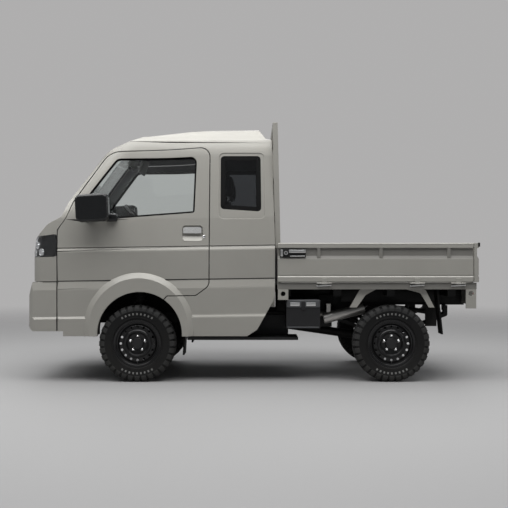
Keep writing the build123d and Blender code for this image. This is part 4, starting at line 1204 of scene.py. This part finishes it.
# %% Springs and pipes
HOUSE_X = 842
HOUSE_Z = 358
HOUSE_R = 357
HOUSE_IN = 372
HOUSE_OUT = 651
HOUSE_START = radians(-4)
HOUSE_SWEEP = radians(35)
COIL_TURNS = 4
COIL_STEPS = 22
COIL_FOOT = 505
COIL_R = 48
COIL_HEIGHT = 160
STRUT_AT = (862, 497)
# Bolts that clamp the leaf springs to the rear axle, and the plate under them
BOLT_APART = 48
BOLT_YS = (372, 448)
BOLT_Z = (225, 372)
SPRING_PLATE = [((-1105, -981), (360, 460), (216, 228), 3, 0)]
# Rear damper: both ends and radius of its tube and of its upper part
DAMPER = [((-1100, 340, 235), (-1180, 325, 420), 22), ((-1170, 327, 400), (-1225, 318, 560), 16)]
FRONT_PIPE = [(60, 250, 380), (-200, 340, 400), (-400, 380, 470), (-560, 430, 500)]
TAIL_PIPE = [(-850, 440, 540), (-900, 300, 560), (-1250, 250, 520), (-1500, 250, 480)]
# Sills that carry the deck on the frame, and dark sheets beside and behind the rear wheel, a painted shade in
# the wheel house
CARRIERS_AND_SHADE_SHEETS = [
    ((-1640, -195), (336, 364), (640, 694), 2, 0),
    ((-1420, -690), (470, 475), (590, 693), 2, 0),
    ((-1425, -1335), (470, 475), (400, 600), 2, 0),
    ((-640, -195), (338, 343), (470, 650), 2, 0),
    ((-800, -630), (338, 343), (505, 650), 2, 0),
    ((-620, -515), (395, 400), (390, 640), 2, 0),
]
# Lid, two catches, middle strap and lower rib of the battery box
BATTERY_LID = [
    ((-508, -255), (366, 706), (556, 616), 8, 0, None, 3),
    ((-475, -403), (700, 708.5), (568, 596), 4, 1),
    ((-355, -283), (700, 708.5), (568, 596), 4, 1),
    ((-397, -366), (700, 710), (540, 604), 4, 2),
    ((-500, -263), (700, 706), (404, 414), 2, 0),
]


def front_coils():
    bm = new_trim()
    for sign in (1, -1):
        x, y = STRUT_AT[0], sign * STRUT_AT[1]
        circle = bmesh.ops.create_circle(bm, segments=10, radius=6 * MM,
                                         matrix=Matrix.Translation(Vector((x + COIL_R, y, COIL_FOOT)) * MM)
                                         @ Matrix.Rotation(radians(90), 4, "X"))["verts"]
        ring = list({line for vert in circle for line in vert.link_edges})
        bmesh.ops.spin(bm, geom=circle + ring, cent=Vector((x, y, COIL_FOOT)) * MM, axis=(0, 0, 1),
                       angle=2 * pi * COIL_TURNS, steps=COIL_TURNS * COIL_STEPS,
                       dvec=(0, 0, COIL_HEIGHT * MM / (COIL_TURNS * COIL_STEPS)))
    bmesh.ops.recalc_face_normals(bm, faces=bm.faces[:])
    make_piece(bm, "front_coils", ["chassis_black"], "chassis", radians(60))


def rear_gear():
    bm = new_trim()
    axle_x = WHEELS["rear_left"][0]
    for sign in (1, -1):
        for x in (axle_x - BOLT_APART, axle_x + BOLT_APART):
            for y in BOLT_YS:
                rod(bm, (x, sign * y, BOLT_Z[0]), (x, sign * y, BOLT_Z[1]), 6, 0, 10)
        plates(bm, SPRING_PLATE, sign)
        for (x0, y0, z0), (x1, y1, z1), radius in DAMPER:
            rod(bm, (x0, sign * y0, z0), (x1, sign * y1, z1), radius, 0)
    trim_piece(bm, "rear_dampers", ["chassis_black"], "chassis")
    hot = new_trim()
    pipe(hot, FRONT_PIPE, 21)
    pipe(hot, TAIL_PIPE, 19, 1)
    trim_piece(hot, "exhaust_pipe", ["exhaust_steel", "chassis_black"], "chassis")


def wheel_houses():
    """Curved splash shields ahead of the front wheels, clear of the tyre at full lock."""
    bm = new_trim()
    for sign in (1, -1):
        x, z = HOUSE_X + HOUSE_R * cos(HOUSE_START), HOUSE_Z + HOUSE_R * sin(HOUSE_START)
        ends = [bm.verts.new(Vector((x, sign * y, z)) * MM) for y in (HOUSE_IN, HOUSE_OUT)]
        edge = bm.edges.new(ends)
        bmesh.ops.spin(bm, geom=ends + [edge], cent=Vector((HOUSE_X, 0, HOUSE_Z)) * MM, axis=(0, 1, 0),
                       angle=-HOUSE_SWEEP, steps=14)
    bmesh.ops.recalc_face_normals(bm, faces=bm.faces[:])
    bmesh.ops.solidify(bm, geom=bm.faces[:], thickness=3 * MM)
    trim_piece(bm, "front_splash_shields", ["black_plastic"], "chassis")


front_coils()
rear_gear()
box_piece("battery_lid", BATTERY_LID, ["box_grey", "bright_zinc", "black_plastic"], "chassis", (1,))
# The dark sheets among these rows stand in for the shade in the rear wheel house.
box_piece("deck_carriers_and_shade_sheets", CARRIERS_AND_SHADE_SHEETS, ["chassis_black"], "chassis")
wheel_houses()
print("underside ready")

# %% [markdown]
# ## Cab inside
# Through the side glass the eye catches the dash, its vents, the gear lever and the visors, so those are
# modelled and nothing deeper.

# %% Cab fittings
# Instrument hood and its face, radio, glove box and hand brake console
CAB_BOXES = [
    ((1190, 1340), (-480, -170), (1178, 1236), 22, 0, None, 3),
    ((1180, 1196), (-455, -195), (1186, 1224), 6, 1),
    ((1158, 1186), (-75, 75), (925, 1035), 6, 1),
    ((1164, 1192), (170, 560), (900, 1020), 10, 0),
    ((440, 660), (-50, 50), (800, 824), 8, 0),
]
VENT_YS = (-560, -110, 110, 560)
SLAT_ZS = (1058, 1071, 1084)
# Gear lever and hand brake: both ends and radius
LEVERS = [((930, -20, 560), (850, -20, 880), 9), ((430, 0, 812), (640, 0, 872), 13)]
KNOB_AT = (846, -20, 896)
KNOB_R = 26
PEDAL_YS = (-230, -320, -405)
PEDAL_LEAN = Matrix.Rotation(radians(-28), 3, "Y")
VISOR_LEAN = Matrix.Rotation(radians(-18), 3, "Y")
# Two visors and the inner mirror
VISORS = [
    ((905, 925), (-500, -130), (1625, 1752), 7, 0, VISOR_LEAN, 3),
    ((905, 925), (130, 500), (1625, 1752), 7, 0, VISOR_LEAN, 3),
    ((965, 985), (-120, 120), (1630, 1695), 8, 1, None, 3),
]


def cab_fittings():
    bm = new_trim()
    plates(bm, CAB_BOXES)
    for y in VENT_YS:
        plate(bm, (1156, 1180), (y - 48, y + 48), (1050, 1098), 6, 1)
        for z in SLAT_ZS:
            plate(bm, (1152, 1166), (y - 42, y + 42), (z, z + 5), 1.5, 0)
    for foot, top, radius in LEVERS:
        rod(bm, foot, top, radius, 1)
    bmesh.ops.create_uvsphere(bm, u_segments=20, v_segments=12, radius=KNOB_R * MM,
                              matrix=Matrix.Translation(Vector(KNOB_AT) * MM))
    paint_new(bm, 1)
    for y in PEDAL_YS:
        plate(bm, (1300, 1316), (y - 28, y + 28), (610, 680), 5, 1, PEDAL_LEAN)
        rod(bm, (1318, y, 650), (1400, y, 860), 7, 1, 10)
    trim_piece(bm, "cab_fittings", ["trim_plastic", "black_plastic"], "chassis")
    soft = new_trim()
    plates(soft, VISORS)
    bend(soft)
    trim_piece(soft, "visors", ["lining", "black_plastic"], "chassis")


cab_fittings()
print("cab fittings ready")

# %% [markdown]
# ## Seats
# A seat is a cloth cover stuffed until its sides stand out and its seams pull in. A modelled block looks
# carved, so each pad is filled by a cloth simulation instead: a slightly small block is given an even
# mesh, blown up for a few frames with gravity off, and no point may travel further than its reach. The
# seams are pressed in afterwards.

# %% Seats
PAD_VOXEL = 0.009
PAD_REACH = 0.014
PAD_PRESSURE = 4.0
PAD_FRAMES = 20
SEAT_BOTTOM = 0.801
SEAM_DEPTH = 0.007
SEAM_WIDTH = 0.010
# Left seat: side outline in x and z, limits in y, edge radius, seams in y, cross seam (axis, place), facing
SEAT_PADS = {
    "seat_base": ([(188, 814), (626, 814), (634, 882), (348, 870), (188, 870)], (106, 544), 24,
                  (195, 455), (0, 500), (0, 0, 1)),
    "seat_back": ([(194, 890), (312, 890), (244, 1380), (166, 1380), (188, 905)], (110, 540), 26,
                  (195, 455), (2, 1235), (1, 0, 0)),
    "seat_head": ([(150, 1408), (222, 1408), (216, 1564), (152, 1564)], (230, 420), 26,
                  (), (2, 1490), (1, 0, 0)),
}


def pad_block(rows, limits, edge):
    bm = bmesh.new()
    face = bm.faces.new([bm.verts.new(Vector((x, limits[0], z)) * MM) for x, z in rows])
    pull(bm, [face], (0, (limits[1] - limits[0]) * MM, 0))
    bmesh.ops.recalc_face_normals(bm, faces=bm.faces[:])
    round_edges(bm, bm.edges[:], edge, 3)
    return bm


def shape_now(pad):
    return bpy.data.meshes.new_from_object(pad.evaluated_get(bpy.context.evaluated_depsgraph_get()))


def fill_pad(bm, name):
    """Blow up a closed pad and give back its new shape."""
    mesh = bpy.data.meshes.new(name + "_cover")
    bm.to_mesh(mesh)
    bm.free()
    pad = link_object(name + "_cover", mesh)
    even = pad.modifiers.new("even", "REMESH")
    even.mode = "VOXEL"
    even.voxel_size = PAD_VOXEL
    cover = shape_now(pad)
    pad.modifiers.clear()
    pad.data = cover
    first = [vert.co.copy() for vert in cover.vertices]
    filling = pad.modifiers.new("filling", "CLOTH")
    filling.settings.use_pressure = True
    filling.settings.uniform_pressure_force = PAD_PRESSURE
    filling.settings.effector_weights.gravity = 0
    filling.point_cache.frame_end = PAD_FRAMES
    for step in range(1, PAD_FRAMES + 1):
        scene.frame_set(step)
    filled = shape_now(pad)
    pad.modifiers.clear()
    scene.frame_set(1)
    for vert, place in zip(filled.vertices, first):
        move = vert.co - place
        if move.length > PAD_REACH:
            vert.co = place + move * (PAD_REACH / move.length)
    cover = filled
    bpy.data.objects.remove(pad)
    shape = bmesh.new()
    shape.from_mesh(cover)
    return shape


def press_seams(bm, seams, cross, toward):
    """Push the cloth in along each seam, on the side that is sat on."""
    bm.normal_update()
    axis, place = cross
    for vert in bm.verts:
        near = [abs(vert.co.y - y * MM) for y in seams] + [abs(vert.co[axis] - place * MM)]
        press = max(1 - min(near) / SEAM_WIDTH, 0)
        if vert.normal.dot(Vector(toward)) > TOWARD:
            vert.co -= vert.normal * SEAM_DEPTH * press * press * (3 - 2 * press)


def finish_pad(bm, name):
    pad = make_piece(bm, name, ["seat_cloth"], "chassis", radians(180))
    smooth = pad.modifiers.new("smooth", "SUBSURF")
    smooth.levels = 1
    smooth.render_levels = 1
    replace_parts(pad, "seats")
    return pad


def seat_posts():
    bm = new_trim()
    for sign in (1, -1):
        for y in (285, 365):
            rod(bm, (190, sign * y, 1360), (188, sign * y, 1430), 6, 0, 14)
    trim_piece(bm, "headrest_posts", ["chrome"], "chassis")


for name, (rows, limits, edge, seams, cross, toward) in SEAT_PADS.items():
    pad = fill_pad(pad_block(rows, limits, edge), name)
    press_seams(pad, seams, cross, toward)
    for vert in pad.verts:
        vert.co.z = max(vert.co.z, SEAT_BOTTOM)
    twin = pad.copy()
    bmesh.ops.scale(twin, vec=(1, -1, 1), verts=twin.verts[:])
    bmesh.ops.reverse_faces(twin, faces=twin.faces[:])
    print(name, "faces", len(pad.faces))
    finish_pad(pad, name + "_left")
    finish_pad(twin, name + "_right")
seat_posts()
